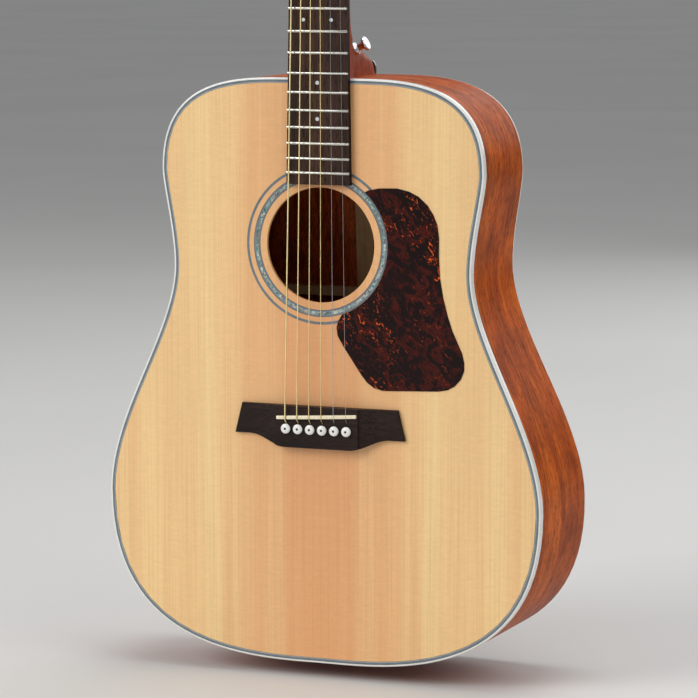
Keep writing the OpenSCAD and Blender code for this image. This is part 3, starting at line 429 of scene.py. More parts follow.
FRET_METAL = Metal("nickel_silver", shown(214, 212, 204), 0.26, (60, 900, 900))
CHROME = Metal("chrome_plate", shown(212, 213, 217), 0.09, (260, 260, 260), dull=0.95)
STEEL = Metal("plain_steel", shown(150, 150, 154), 0.35)
BRASS = Metal("turned_brass", shown(216, 178, 106), 0.3)
BRONZE = Metal("bronze_winding", shown(250, 230, 172), 0.4, windings=2600)
PLAIN = Metal("plain_string", shown(222, 224, 228), 0.2)


# ---------------------------------------------------------------- shaping


def eased(share: float) -> float:
    """A share from 0 to 1 that starts and ends gently."""
    return share * share * (3 - 2 * share)


def linked(name: str, data: bpy.types.ID) -> bpy.types.Object:
    """A new object in the scene, with some data."""
    made = bpy.data.objects.new(name, data)
    bpy.context.scene.collection.objects.link(made)
    return made


def placed(name: str, bm: bmesh.types.BMesh) -> bpy.types.Object:
    """A new object in the scene from a mesh, which is used up."""
    mesh = bpy.data.meshes.new(name)
    bm.to_mesh(mesh)
    bm.free()
    return linked(name, mesh)


def joint(name: str) -> tuple[Vector, Vector]:
    """A joint's place and axis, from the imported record."""
    found = next(j for j in frame["joints"] if j["name"] == name)
    return Vector(found["pos_m"]), Vector(found["axis"]).normalized()


def chain(bm: bmesh.types.BMesh, points: Sequence[Vector], closed: bool = False) -> list:
    """Adds the points as a line of edges.

    Args:
        bm: The mesh under work.
        points: The line's points in order.
        closed: Whether the last point joins the first.

    Returns:
        The new edges.
    """
    verts = [bm.verts.new(p) for p in points]
    pairs = list(zip(verts, verts[1:])) + ([(verts[-1], verts[0])] if closed else [])
    return [bm.edges.new(pair) for pair in pairs]


def thicken(bm: bmesh.types.BMesh, faces: list, move: Callable[[Vector], Vector]) -> list:
    """Turns a sheet of faces into a closed block.

    Args:
        bm: The mesh under work.
        faces: The sheet, which stays as one side of the block.
        move: Where each point of the other side goes.

    Returns:
        The faces of the other side.
    """
    grown = bmesh.ops.extrude_face_region(bm, geom=faces, use_keep_orig=True)["geom"]
    for vert in (g for g in grown if isinstance(g, bmesh.types.BMVert)):
        vert.co = move(vert.co)
    return [g for g in grown if isinstance(g, bmesh.types.BMFace)]


def cut_across(bm: bmesh.types.BMesh, place: Vector, normal: Vector) -> None:
    """Cuts the faces that a plane crosses, and keeps both sides."""
    geom = list(bm.verts) + list(bm.edges) + list(bm.faces)
    bmesh.ops.bisect_plane(bm, geom=geom, plane_co=place, plane_no=normal)


def round_edges(bm: bmesh.types.BMesh, radius: float, chosen: Rule, segments: int = 3) -> None:
    """Bevels the edges that a rule picks."""
    edges = [e for e in bm.edges if len(e.link_faces) == 2 and chosen(e)]
    if edges:
        bmesh.ops.bevel(bm, geom=edges, offset=radius, offset_type="OFFSET", segments=segments,
                        profile=0.5, affect="EDGES", clamp_overlap=True, material=-1)


def sharper_than(degrees: float) -> Rule:
    """A rule that picks the edges whose faces turn by more than an angle."""
    return lambda edge: edge.calc_face_angle(0.0) > math.radians(degrees)


def turned(bm: bmesh.types.BMesh, profile: Sequence[tuple[float, float]], place: Vector,
           axis: Vector, steps: int = 40) -> None:
    """Turns a profile into a round piece.

    Args:
        bm: The mesh under work.
        profile: Pairs of a height along the axis and a radius there.
        place: Where height 0 lies.
        axis: The way that heights grow.
        steps: Faces round the piece.
    """
    out = axis.orthogonal().normalized()
    edges = chain(bm, [place + axis * height + out * radius for height, radius in profile])
    verts = list({v for e in edges for v in e.verts})
    bmesh.ops.spin(bm, geom=verts + edges, cent=place, axis=axis, angle=2 * math.pi,
                   steps=steps, use_merge=True)


def make_piece(bm: bmesh.types.BMesh, name: str, finishes: Sequence[Finish],
               replaces: Sequence[str] = (), body: str = "root",
               smooth: float = SHARP_TURN) -> bpy.types.Object:
    """Closes a mesh and makes it a piece of the guitar.

    Args:
        bm: The mesh, which is used up.
        name: The piece's name.
        finishes: One for each material number that its faces hold.
        replaces: The CAD nodes that it stands for.
        body: The CAD body that it rides on.
        smooth: Edges that turn by more degrees than this stay sharp.

    Returns:
        The piece.
    """
    bmesh.ops.remove_doubles(bm, verts=bm.verts, dist=WELD)
    bmesh.ops.dissolve_degenerate(bm, edges=bm.edges, dist=WELD)
    bmesh.ops.recalc_face_normals(bm, faces=bm.faces)
    piece = placed(name, bm)
    mesh = piece.data
    for finish in finishes:
        mesh.materials.append(finish.material())
    mesh.shade_smooth()
    mesh.set_sharp_from_angle(angle=math.radians(smooth))
    even = piece.modifiers.new("even_shading", "WEIGHTED_NORMAL")
    even.keep_sharp = True
    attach(piece, body)
    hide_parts(*replaces)
    LOG.info("%s: %d faces on %s", name, len(mesh.polygons), body)
    return piece


def cad_shape(node: str) -> bmesh.types.BMesh:
    """A welded copy of a CAD node's mesh, with its flat faces joined.

    Args:
        node: The CAD node.

    Returns:
        The copy.
    """
    bm = bmesh.new()
    bm.from_mesh(frame["nodes"][node].data)
    bmesh.ops.remove_doubles(bm, verts=bm.verts, dist=2 * WELD)
    bmesh.ops.dissolve_degenerate(bm, edges=bm.edges, dist=2 * WELD)
    bmesh.ops.dissolve_limit(bm, angle_limit=math.radians(FLAT_TURN), verts=bm.verts,
                             edges=bm.edges)
    return bm


def polished(node: str, finish: Finish, radius: float = 0.3 * MM,
             chosen: Rule | None = None, body: str = "root", smooth: float = SHARP_TURN,
             segments: int = 2) -> bpy.types.Object:
    """A CAD node's own shape with its edges eased.

    Args:
        node: The CAD node that it stands for.
        finish: Its finish.
        radius: How far its edges are eased.
        chosen: The edges to ease, or all sharp ones.
        body: The CAD body that it rides on.
        smooth: Edges that turn by more degrees than this stay sharp.
        segments: Faces across each eased edge.

    Returns:
        The piece.
    """
    bm = cad_shape(node)
    if radius:
        bmesh.ops.recalc_face_normals(bm, faces=bm.faces)
        round_edges(bm, radius, chosen or sharper_than(SHARP_TURN), segments)
    return make_piece(bm, node + "_polished", [finish], [node], body, smooth)


def combine(piece: bpy.types.Object, tool: bmesh.types.BMesh, operation: str) -> None:
    """Joins a closed shape to a piece, or cuts it away.

    Args:
        piece: The piece, whose mesh changes.
        tool: The closed shape, which is used up.
        operation: UNION or DIFFERENCE.
    """
    bmesh.ops.remove_doubles(tool, verts=tool.verts, dist=WELD)
    bmesh.ops.recalc_face_normals(tool, faces=tool.faces)
    other = placed("tool", tool)
    mesh = other.data
    step = piece.modifiers.new("join", "BOOLEAN")
    step.operation = operation
    step.solver = "EXACT"
    step.object = other
    bpy.context.view_layer.update()
    made = bpy.data.meshes.new_from_object(
        piece.evaluated_get(bpy.context.evaluated_depsgraph_get()))
    piece.modifiers.remove(step)
    old, piece.data = piece.data, made
    made.name = piece.name
    bpy.data.objects.remove(other)
    bpy.data.meshes.remove(old)
    bpy.data.meshes.remove(mesh)


# ---------------------------------------------------------------- body


@dataclass
class Outline:
    """The body's outline, seen from the front."""

    length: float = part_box("top_binding")[1].z
    lower_half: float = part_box("top_binding")[1].x
    upper_half: float = 148 * MM
    waist_half: float = 137 * MM
    upper_drop: float = 79 * MM
    waist_drop: float = 163 * MM
    lower_rise: float = 141 * MM
    flat_half: float = 31 * MM
    shoulder_pull: tuple[float, float] = (0.39, 1.0)
    upper_pull: tuple[float, float] = (0.19, 0.35)
    waist_pull: tuple[float, float] = (0.29, 0.34)
    tail_pull: tuple[float, float] = (1.06, 0.28)
    steps: int = 30

    def curve(self, ends: Sequence[Vector], pulls: Sequence[Vector]) -> list[Vector]:
        """A smooth stretch between two places, without the first.

        Args:
            ends: Where it leaves and arrives.
            pulls: Its two handles, each from its own end.

        Returns:
            Its points.
        """
        p, q = ends
        a, b = p + pulls[0], q + pulls[1]
        shares = [i / self.steps for i in range(1, self.steps + 1)]
        return [p * (1 - t) ** 3 + a * 3 * t * (1 - t) ** 2 + b * 3 * t * t * (1 - t)
                + q * t ** 3 for t in shares]

    def half(self) -> list[Vector]:
        """The treble half from the neck's end round to the tail, both on the centreline."""
        top = Vector((self.flat_half, 0, self.length))
        upper = Vector((self.upper_half, 0, self.length - self.upper_drop))
        waist = Vector((self.waist_half, 0, self.length - self.waist_drop))
        lower = Vector((self.lower_half, 0, self.lower_rise))
        tail = Vector((0, 0, 0))
        across, down = Vector((1, 0, 0)), Vector((0, 0, -1))
        upper_h, waist_h = upper.z - waist.z, waist.z - lower.z
        return [Vector((0, 0, self.length)), top] + self.curve(
            (top, upper), (across * self.shoulder_pull[0] * (upper.x - top.x),
                           -down * self.shoulder_pull[1] * self.upper_drop)) + self.curve(
            (upper, waist), (down * self.upper_pull[0] * upper_h,
                             -down * self.upper_pull[1] * upper_h)) + self.curve(
            (waist, lower), (down * self.waist_pull[0] * waist_h,
                             -down * self.waist_pull[1] * waist_h)) + self.curve(
            (lower, tail), (down * self.tail_pull[0] * self.lower_rise,
                            across * self.tail_pull[1] * lower.x))

    def loop(self, inset: float = 0.0) -> list[Vector]:
        """The whole outline as a closed line.

        Args:
            inset: How far it is moved inwards.

        Returns:
            Its points.
        """
        half = self.half()
        whole = half + [Vector((-p.x, 0, p.z)) for p in half[-2:0:-1]]
        count = len(whole)
        moved = []
        for i, p in enumerate(whole):
            run = (whole[(i + 1) % count] - whole[i - 1]).normalized()
            moved.append(p + Vector((run.z, 0, -run.x)) * inset)
        return moved


@dataclass
class SoundBox:
    """Soundboard, back, sides and their edges."""

    outline: Outline = field(default_factory=Outline)
    face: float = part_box("soundboard")[0].y
    neck_depth: float = 96 * MM
    back_radius: float = 5.0
    back_t: float = 2.8 * MM
    side_t: float = 2.4 * MM
    edge_w: float = 1.8 * MM
    edge_h: float = 6 * MM
    back_edge_h: float = 2.2 * MM
    edge_round: float = 0.9 * MM
    lines: tuple[tuple[float, Finish], ...] = (
        (0.3 * MM, DARK_LINE), (1.7 * MM, GREY_LINE), (0.3 * MM, PALE_LINE), (0.5 * MM, GREY_LINE))
    line_depth: float = 1.4 * MM
    back_cuts: int = 24

    def back_y(self, x: float, z: float, under: float = 0.0) -> float:
        """How far back the back's outer face lies.

        Args:
            x: Distance from the centreline.
            z: The height.
            under: How far under the outer face to measure instead.

        Returns:
            The place along Y.
        """
        depth = -2 * self.face
        lean = math.atan((depth - self.neck_depth) / self.outline.length)
        arch = math.sqrt((self.back_radius - under) ** 2 - x * x) - self.back_radius
        return -self.face - z * math.tan(lean) + arch / math.cos(lean)

    def band(self, bm: bmesh.types.BMesh, insets: Sequence[float], y: float) -> list:
        """A flat band along the outline.

        Args:
            bm: The mesh under work.
            insets: Distances from the outline, one more than there are strips.
            y: Where it lies.

        Returns:
            Its faces, whose material numbers count the strips.
        """
        lift = Vector((0, y, 0))
        middle = bm.faces.new([bm.verts.new(p + lift) for p in self.outline.loop(insets[0])])
        middle.normal_update()
        faces = []
        for number, (near, far) in enumerate(zip(insets, insets[1:])):
            strip = bmesh.ops.inset_region(bm, faces=[middle], thickness=far - near,
                                           use_boundary=True, use_even_offset=True)["faces"]
            for face in strip:
                face.material_index = number
            faces += strip
        bmesh.ops.delete(bm, geom=[middle], context="FACES_ONLY")
        return faces

    def make_sides(self) -> None:
        """Bends the two sides round the outline, each with its grain along its length."""
        for name, sign in (("bass", -1), ("treble", 1)):
            bm = bmesh.new()
            uv = bm.loops.layers.uv.new("grain")
            front = Vector((0, self.face + self.edge_h, 0))
            line = [Vector((sign * p.x, 0, p.z)) + front for p in self.outline.half()]
            reach = [0.0]
            for a, b in zip(line, line[1:]):
                reach.append(reach[-1] + (b - a).length)
            edges = chain(bm, line)
            along = dict(zip(bm.verts, reach))
            grown = bmesh.ops.extrude_edge_only(bm, edges=edges)["geom"]
            for vert in (g for g in grown if isinstance(g, bmesh.types.BMVert)):
                mate = min(along, key=lambda v: (v.co - vert.co).length)
                along[vert] = along[mate]
            for vert in (g for g in grown if isinstance(g, bmesh.types.BMVert)):
                vert.co.y = self.back_y(vert.co.x, vert.co.z, self.back_edge_h)
            for face in bm.faces:
                for corner in face.loops:
                    corner[uv].uv = (along[corner.vert], corner.vert.co.y)
            bmesh.ops.recalc_face_normals(bm, faces=bm.faces)
            outwards = sum(f.normal.x * f.calc_area() for f in bm.faces)
            if outwards * sign < 0:
                bmesh.ops.reverse_faces(bm, faces=bm.faces)
            bmesh.ops.solidify(bm, geom=list(bm.faces), thickness=self.side_t)
            make_piece(bm, f"side_{name}_bent", [SIDE_WOOD], [f"side_{name}"])

    def make_edges(self) -> None:
        """Binds the front and the back, and lays the lines inside the front binding."""
        for name in ("top_binding", "back_binding"):
            bm = bmesh.new()
            height = self.edge_h if name == "top_binding" else self.back_edge_h
            sheet = self.band(bm, (0.0, self.edge_w), self.face)
            outer = {v for e in bm.edges for v in e.verts}
            thicken(bm, sheet, lambda co: co + Vector((0, height, 0)))
            bm.normal_update()
            rim = set(self.rim(bm, outer))
            round_edges(bm, self.edge_round, lambda edge: edge in rim)
            if name == "back_binding":
                for vert in bm.verts:
                    vert.co.y = self.back_y(vert.co.x, vert.co.z) - (vert.co.y - self.face)
            for face in bm.faces:
                face.material_index = 0
            make_piece(bm, name + "_bent", [WHITE_EDGE], [name])
        bm = bmesh.new()
        insets = [self.edge_w]
        for width, _ in self.lines:
            insets.append(insets[-1] + width)
        sheet = self.band(bm, insets, self.face)
        thicken(bm, sheet, lambda co: co + Vector((0, self.line_depth, 0)))
        make_piece(bm, "top_purfling_bent", [finish for _, finish in self.lines],
                   ["top_purfling"])

    def rim(self, bm: bmesh.types.BMesh, front: set) -> list:
        """The outer front edges of a binding, whose two faces look forwards and outwards.

        Args:
            bm: The binding's mesh.
            front: Its points on the front.

        Returns:
            The edges.
        """
        found = []
        for edge in bm.edges:
            if edge.verts[0] in front and edge.verts[1] in front and len(edge.link_faces) == 2:
                wall = [f for f in edge.link_faces if abs(f.normal.y) < 0.5]
                if len(wall) == 1:
                    centre = (edge.verts[0].co + edge.verts[1].co) / 2
                    inside = min(self.gaps(centre))
                    if inside < self.edge_w / 2:
                        found.append(edge)
        return found

    def gaps(self, point: Vector) -> list[float]:
        """Distances from a point to the middles of the outline's steps."""
        loop = self.outline.loop()
        return [math.hypot(point.x - (a.x + b.x) / 2, point.z - (a.z + b.z) / 2)
                for a, b in zip(loop, loop[1:] + loop[:1])]

    def make_soundboard(self) -> None:
        """Eases the soundboard's sound hole and finishes its wood."""
        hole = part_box("rosette")
        centre = (hole[0] + hole[1]) / 2

        def at_hole(edge: bmesh.types.BMEdge) -> bool:
            """Whether an edge lies on the front rim of the sound hole."""
            return all(abs(v.co.y - self.face) < 0.1 * MM and abs(
                math.hypot(v.co.x, v.co.z - centre.z) - HOLE_R) < 0.2 * MM
                for v in edge.verts)

        polished("soundboard", SPRUCE, 0.7 * MM, at_hole, segments=3)

    def make_back(self) -> None:
        """Arches the bookmatched back over its braces."""
        bm = bmesh.new()
        bm.faces.new([bm.verts.new(p) for p in self.outline.loop(self.edge_w)])
        for axis, low, high in ((Vector((1, 0, 0)), -self.outline.lower_half,
                                 self.outline.lower_half),
                                (Vector((0, 0, 1)), 0.0, self.outline.length)):
            for i in range(1, self.back_cuts):
                at = low + (high - low) * i / self.back_cuts
                cut_across(bm, axis * at, axis)
        thicken(bm, list(bm.faces),
                lambda co: Vector((co.x, self.back_y(co.x, co.z, self.back_t), co.z)))
        for vert in bm.verts:
            if abs(vert.co.y) < WELD:
                vert.co.y = self.back_y(vert.co.x, vert.co.z)
        make_piece(bm, "back_arched", [BACK_WOOD], ["back"])

    def make(self) -> None:
        """Makes every outer piece of the sound box."""
        self.make_sides()
        self.make_edges()
        self.make_soundboard()
        self.make_back()


@dataclass
class Decoration:
    """The rosette's rings and the pickguard."""

    face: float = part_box("soundboard")[0].y
    depth: float = 1.4 * MM
    steps: int = 144
    inner: tuple[float, ...] = (6.3, 6.6, 8.0, 10.6, 12.1, 12.4)
    outer: tuple[float, ...] = (16.6, 17.3, 18.2, 18.9)

    def make_rosette(self) -> None:
        """Inlays the two rings, each of several strips."""
        low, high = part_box("rosette")
        centre = Vector((0, self.face, (low.z + high.z) / 2))
        finishes = (DARK_LINE, GREY_LINE, SHELL, GREY_LINE, DARK_LINE, GREY_LINE, GREY_LINE,
                    GREY_LINE)
        bm = bmesh.new()
        number = 0
        for ring in (self.inner, self.outer):
            for a, b in zip(ring, ring[1:]):
                radii = [HOLE_R + r * MM for r in (a, b)]
                edges = chain(bm, [centre + Vector((r, 0, 0)) for r in radii])
                known = set(bm.faces)
                bmesh.ops.spin(bm, geom=list(edges[0].verts) + edges, cent=centre,
                               axis=Vector((0, 1, 0)), angle=2 * math.pi, steps=self.steps,
                               use_merge=True)
                for face in set(bm.faces) - known:
                    face.material_index = number
                number += 1
        bmesh.ops.remove_doubles(bm, verts=bm.verts, dist=WELD)
        thicken(bm, list(bm.faces), lambda co: co + Vector((0, self.depth, 0)))
        make_piece(bm, "rosette_inlaid", finishes, ["rosette"])

    def make(self) -> None:
        """Makes the rosette and lays the pickguard."""
        self.make_rosette()
        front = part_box("pickguard")[0].y

        def at_front(edge: bmesh.types.BMEdge) -> bool:
            """Whether an edge lies on the pickguard's front rim."""
            return all(v.co.y < front + 0.05 * MM for v in edge.verts)

        polished("pickguard", TORTOISE, 0.35 * MM, at_front)


@dataclass
class Bridge:
    """The bridge with its carved wings, the saddle and the six pins."""

    face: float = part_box("soundboard")[0].y
    half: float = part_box("bridge")[1].x
    top_half: float = 72 * MM
    block_half: float = 38 * MM
    height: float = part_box("soundboard")[0].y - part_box("bridge")[0].y
    wing_h: float = 3.4 * MM
    front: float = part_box("bridge")[1].z
    pin_line: float = 204.949 * MM
    corner_drop: float = 6.6 * MM
    belly: tuple[float, float] = (64 * MM, 30 * MM)
    pin_r: float = 2.6 * MM
    head_r: float = 4.3 * MM
    pin_len: float = 27 * MM
    slot_w: float = 1.75 * MM
    edge_round: float = 0.6 * MM
    bore_gap: float = 0.05 * MM
    bore_flare: float = 0.5 * MM
    pin_collar: float = 1.6 * MM
    dot_r: float = 1.1 * MM
    dome_steps: int = 8
    belly_steps: int = 12
    scoop: tuple[float, ...] = (0, 0.6, 2.5, 5, 8, 11.5, 15.5, 20, 25, 30)
    wing_start: float = 0.86
    wing_fall: float = 1.25
    wing_curve: float = 2.2

    def outline(self) -> list[Vector]:
        """The bridge's outline, seen from the front."""
        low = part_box("bridge")[0].z
        corner = self.pin_line - self.corner_drop
        right = [Vector((self.top_half, self.face, self.front)),
                 Vector((self.half, self.face, corner))]
        for i in range(self.belly_steps + 1):
            t = i / self.belly_steps
            right.append(Vector((self.belly[0] + (self.belly[1] - self.belly[0]) * t, self.face,
                                 corner + (low - corner) * eased(t))))
        return right + [Vector((-p.x, p.y, p.z)) for p in reversed(right)]

    def rise(self, x: float) -> float:
        """The bridge's height at a distance from the centreline."""
        u = (abs(x) - self.block_half) / (self.half - self.block_half)
        if u <= 0.0:
            return self.height
        left = max(0.0, 1 - self.wing_fall * u) ** self.wing_curve
        return self.wing_h + (self.height * self.wing_start - self.wing_h) * left

    def make_bridge(self) -> None:
        """Carves the bridge and bores it for the pins and strings."""
        bm = bmesh.new()
        bm.faces.new([bm.verts.new(p) for p in self.outline()])
        cuts = [self.block_half + d * MM for d in self.scoop]
        for x in [sign * s for s in cuts for sign in (-1, 1)]:
            cut_across(bm, Vector((x, 0, 0)), Vector((1, 0, 0)))
        top = set(thicken(bm, list(bm.faces), lambda co: co - Vector((0, self.rise(co.x), 0))))
        bmesh.ops.recalc_face_normals(bm, faces=bm.faces)
        round_edges(bm, self.edge_round, lambda e: len(top & set(e.link_faces)) == 1)
        piece = make_piece(bm, "bridge_carved", [BRIDGE_WOOD], ["bridge"],
                           smooth=25.0)
        bores = bmesh.new()
        above, below = -2 * MM, self.height + 1 * MM
        wide, narrow = self.pin_r + self.bore_flare, self.pin_r + self.bore_gap
        for n in STRINGS:
            place = self.pin_place(n)
            place.y = self.face - self.height
            turned(bores, [(above, 0), (above, wide), (0, wide), (0.45 * MM, narrow),
                           (below, narrow), (below, 0)], place, Vector((0, 1, 0)), 32)
        combine(piece, bores, "DIFFERENCE")

    def pin_place(self, number: int) -> Vector:
        """The middle of a pin's head, from its CAD node."""
        low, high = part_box(f"bridge_pin_{number}")
        return (low + high) / 2

    def make_pin(self, number: int) -> None:
        """Turns a pin with a dark dot in its head and a slot down its neck side.

        Args:
            number: The pin, from 1 on the treble side.
        """
        place = self.pin_place(number)
        axis = Vector((0, 1, 0))
        head = self.face - self.height
        collar = head - self.pin_collar
        base = Vector((place.x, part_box(f"bridge_pin_{number}")[0].y, place.z))
        dome = collar - base.y
        dot = self.dot_r
        profile = [(0.0, 0.0), (0.02 * MM, dot)]
        for i in range(1, self.dome_steps + 1):
            a = math.pi / 2 * i / self.dome_steps
            profile.append((dome * (1 - math.cos(a)), dot + (self.head_r - dot) * math.sin(a)))
        rim = head - base.y
        profile += [(dome + 0.5 * MM, self.head_r), (rim - 0.5 * MM, self.head_r - 0.5 * MM),
                    (rim, self.pin_r + 0.4 * MM), (rim + 0.4 * MM, self.pin_r),
                    (rim + 4 * MM, self.pin_r), (rim + 12 * MM, self.pin_r),
                    (rim + self.pin_len - 1 * MM, self.pin_r - 0.15 * MM),
                    (rim + self.pin_len, self.pin_r - 0.9 * MM), (rim + self.pin_len, 0.0)]
        bm = bmesh.new()
        turned(bm, profile, base, axis, 48)
        bmesh.ops.remove_doubles(bm, verts=bm.verts, dist=WELD)
        bmesh.ops.recalc_face_normals(bm, faces=bm.faces)
        for face in bm.faces:
            middle = face.calc_center_median()
            if math.hypot(middle.x - base.x, middle.z - base.z) < dot and middle.y < head:
                face.material_index = 1
        floor = self.pin_r - self.slot_w
        for vert in bm.verts:
            near = abs(vert.co.x - base.x) < self.slot_w / 2
            if vert.co.y > head + 0.3 * MM and near and vert.co.z - base.z > floor:
                vert.co.z = base.z + floor
        make_piece(bm, f"pin_{number}_turned", [PIN_WHITE, BLACK],
                   [f"bridge_pin_{number}"], f"bridge_pin_{number}")

    def make(self) -> None:
        """Makes the bridge, saddle and pins."""
        self.make_bridge()
        polished("saddle", BONE, 0.9 * MM, segments=4)
        for n in STRINGS:
            self.make_pin(n)


# ---------------------------------------------------------------- neck


@dataclass
class Neck:
    """The neck: shaft, heel and headstock in one piece, with its fingerboard and fittings."""

    face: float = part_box("soundboard")[0].y
    start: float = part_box("top_binding")[1].z
    nut_z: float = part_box("nut")[0].z
    nut_t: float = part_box("nut")[1].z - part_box("nut")[0].z
    nut_w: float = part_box("nut")[1].x * 2
    end_w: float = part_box("fingerboard")[1].x * 2
    end_z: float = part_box("fingerboard")[0].z
    shaft_t: tuple[float, float] = (17 * MM, 15 * MM)
    heel: tuple[tuple[float, float, float], ...] = (
        (0, 27.47, 34.5), (20, 21.47, 34), (48, 19, 30), (72, 15.6, 21), (93, 13.6, 13))
    fillet: float = 13 * MM
    volute: float = 14 * MM
    head_angle: float = 14.0
    head_len: float = 172 * MM
    head_w: float = 76 * MM
    head_t: float = 14 * MM
    sweep: int = 28
    roundness: float = 0.9
    foot_heights: tuple[float, ...] = (0, 4, 8, 11, 13, 14.5, 16, 18, 20, 22, 24, 26, 28, 29.5,
                                       31, 32, 33, 33.6)
    fillet_heights: tuple[float, ...] = (0, 1, 2, 3.5, 5, 7, 9, 12, 15, 19, 26)
    shaft_steps: int = 10
    volute_steps: int = 5
    heel_smoothing: int = 10
    heel_smooth_top: float = 75 * MM
    tongue: tuple[float, float, float] = (0.95, 0.8, 1 * MM)
    bushing_bore: float = 5 * MM
    rod_pocket: tuple[float, float, float] = (11 * MM, 14 * MM, 25 * MM)
    rod_pocket_shift: tuple[float, float, float] = (0, -2 * MM, 2 * MM)
    head_edge_round: float = 2 * MM
    head_flare_in: float = 4 * MM
    head_flare_len: float = 30 * MM
    head_flare_steps: int = 8
    head_corner: float = 16 * MM
    head_crown: float = 7 * MM
    head_crown_in: float = 8 * MM
    head_crown_steps: int = 5
    sharp: float = 40.0

    def width(self, z: float) -> float:
        """The fingerboard's width at a height."""
        return self.nut_w + (self.end_w - self.nut_w) * (self.nut_z - z) / (
            self.nut_z - self.end_z)

    def lean(self) -> Matrix:
        """The headstock's tilt."""
        return Matrix.Rotation(math.radians(-self.head_angle), 4, "X")

    def to_head(self) -> Matrix:
        """Turns the headstock's own frame into the guitar's."""
        return Matrix.Translation((0, self.face, self.nut_z + self.nut_t)) @ self.lean()

    def heel_row(self, depth: float) -> tuple[float, float]:
        """The heel's size at a depth.

        Args:
            depth: From the soundboard's face, in metres.

        Returns:
            Its half width and its length along the neck, in metres.
        """
        for (d0, w0, l0), (d1, w1, l1) in zip(self.heel, self.heel[1:]):
            if depth <= d1 * MM:
                t = (depth / MM - d0) / (d1 - d0)
                return (w0 + (w1 - w0) * t) * MM, (l0 + (l1 - l0) * t) * MM
        return self.heel[-1][1] * MM, self.heel[-1][2] * MM

    def depth(self, z: float) -> float:
        """How deep the neck is, from the fingerboard's underside.

        Args:
            z: The height.

        Returns:
            The depth, in metres.
        """
        share = min(1.0, max(0.0, (z - self.start) / (self.nut_z - self.start)))
        shaft = self.shaft_t[0] + (self.shaft_t[1] - self.shaft_t[0]) * share
        up = z - self.start
        past = up - self.heel[1][2] * MM
        if past >= 0:
            return shaft + self.fillet * max(0.0, 1 - past / (1.5 * self.fillet)) ** 3
        for (d0, _, l0), (d1, _, l1) in zip(self.heel[1:], self.heel[2:]):
            if up >= l1 * MM:
                deep = (d0 + (d1 - d0) * (l0 - up / MM) / (l0 - l1)) * MM
                return max(deep, shaft + self.fillet)
        return self.heel[-1][0] * MM

    def half_width(self, deep: float, whole: float, z: float) -> float:
        """The neck's half width.

        Args:
            deep: The depth to measure at.
            whole: How deep the neck is at that height.
            z: The height.

        Returns:
            The half width, in metres.
        """
        shaft = self.width(z) / 2
        thick = min(whole, self.shaft_t[0] + self.fillet)
        rise = min(1.0, deep / thick) ** (1 / self.roundness)
        shaft *= math.sqrt(max(0.0, 1 - rise * rise))
        half, length = self.heel_row(deep)
        high = ((z - self.start) / length - 0.25) / 0.75
        if high >= 1:
            return shaft
        return max(shaft, half * (1 - max(0.0, high) ** (2 / 0.6)) ** 0.3)

    def ring(self, z: float) -> list[Vector]:
        """The neck's outline across itself.

        Args:
            z: The height.

        Returns:
            Its points, from the treble edge round the back to the bass edge.
        """
        whole = self.depth(z)
        side = []
        for i in range(self.sweep + 1):
            deep = whole * math.sin(math.pi / 2 * i / self.sweep) ** self.roundness
            side.append(Vector((self.half_width(deep, whole, z), self.face + deep, z)))
        return side + [Vector((-p.x, p.y, p.z)) for p in reversed(side)]

    def make_neck(self) -> None:
        """Carves the heel and shaft, and joins the headstock to them."""
        heel_top = self.start + self.heel[1][2] * MM
        heights = [self.start + t * MM for t in self.foot_heights]
        heights += [heel_top + t * MM for t in self.fillet_heights]
        rest = self.nut_z - self.volute - heights[-1]
        heights += [heights[-1] + rest * i / self.shaft_steps
                    for i in range(1, self.shaft_steps + 1)]
        rings = [self.ring(z) for z in heights]
        for i in range(1, self.volute_steps + 1):
            share = i / self.volute_steps
            z = self.nut_z - self.volute + (self.volute + self.nut_t / 2) * share
            swell = 1 + 2 * MM / self.shaft_t[1] * math.sin(math.pi / 2 * share) ** 2
            rings.append([Vector((p.x, self.face + (p.y - self.face) * swell, p.z))
                          for p in self.ring(z)])
        last = []
        for p in self.ring(self.nut_z):
            wide, deep, under = self.tongue
            flat = Vector((p.x * wide, (p.y - self.face) * deep + under, self.volute))
            last.append(self.to_head() @ flat)
        rings.append(last)
        bm = bmesh.new()
        loops = [chain(bm, ring, closed=True) for ring in rings]
        for a, b in zip(loops, loops[1:]):
            bmesh.ops.bridge_loops(bm, edges=a + b)
        heel = [v for v in bm.verts if v.co.y > self.face + 1 * MM
                and 1 * MM < v.co.z - self.start < self.heel_smooth_top]
        for _ in range(self.heel_smoothing):
            bmesh.ops.smooth_vert(bm, verts=heel, factor=0.5, use_axis_x=True, use_axis_y=True)
        for loop in (loops[0], loops[-1]):
            bmesh.ops.edgeloop_fill(bm, edges=loop)
        piece = make_piece(bm, "neck_carved", [NECK_WOOD], ["neck"],
                           smooth=self.sharp)
        combine(piece, self.head_block(), "UNION")
        combine(piece, self.head_cuts(), "DIFFERENCE")
        piece.data.set_sharp_from_angle(angle=math.radians(self.sharp))

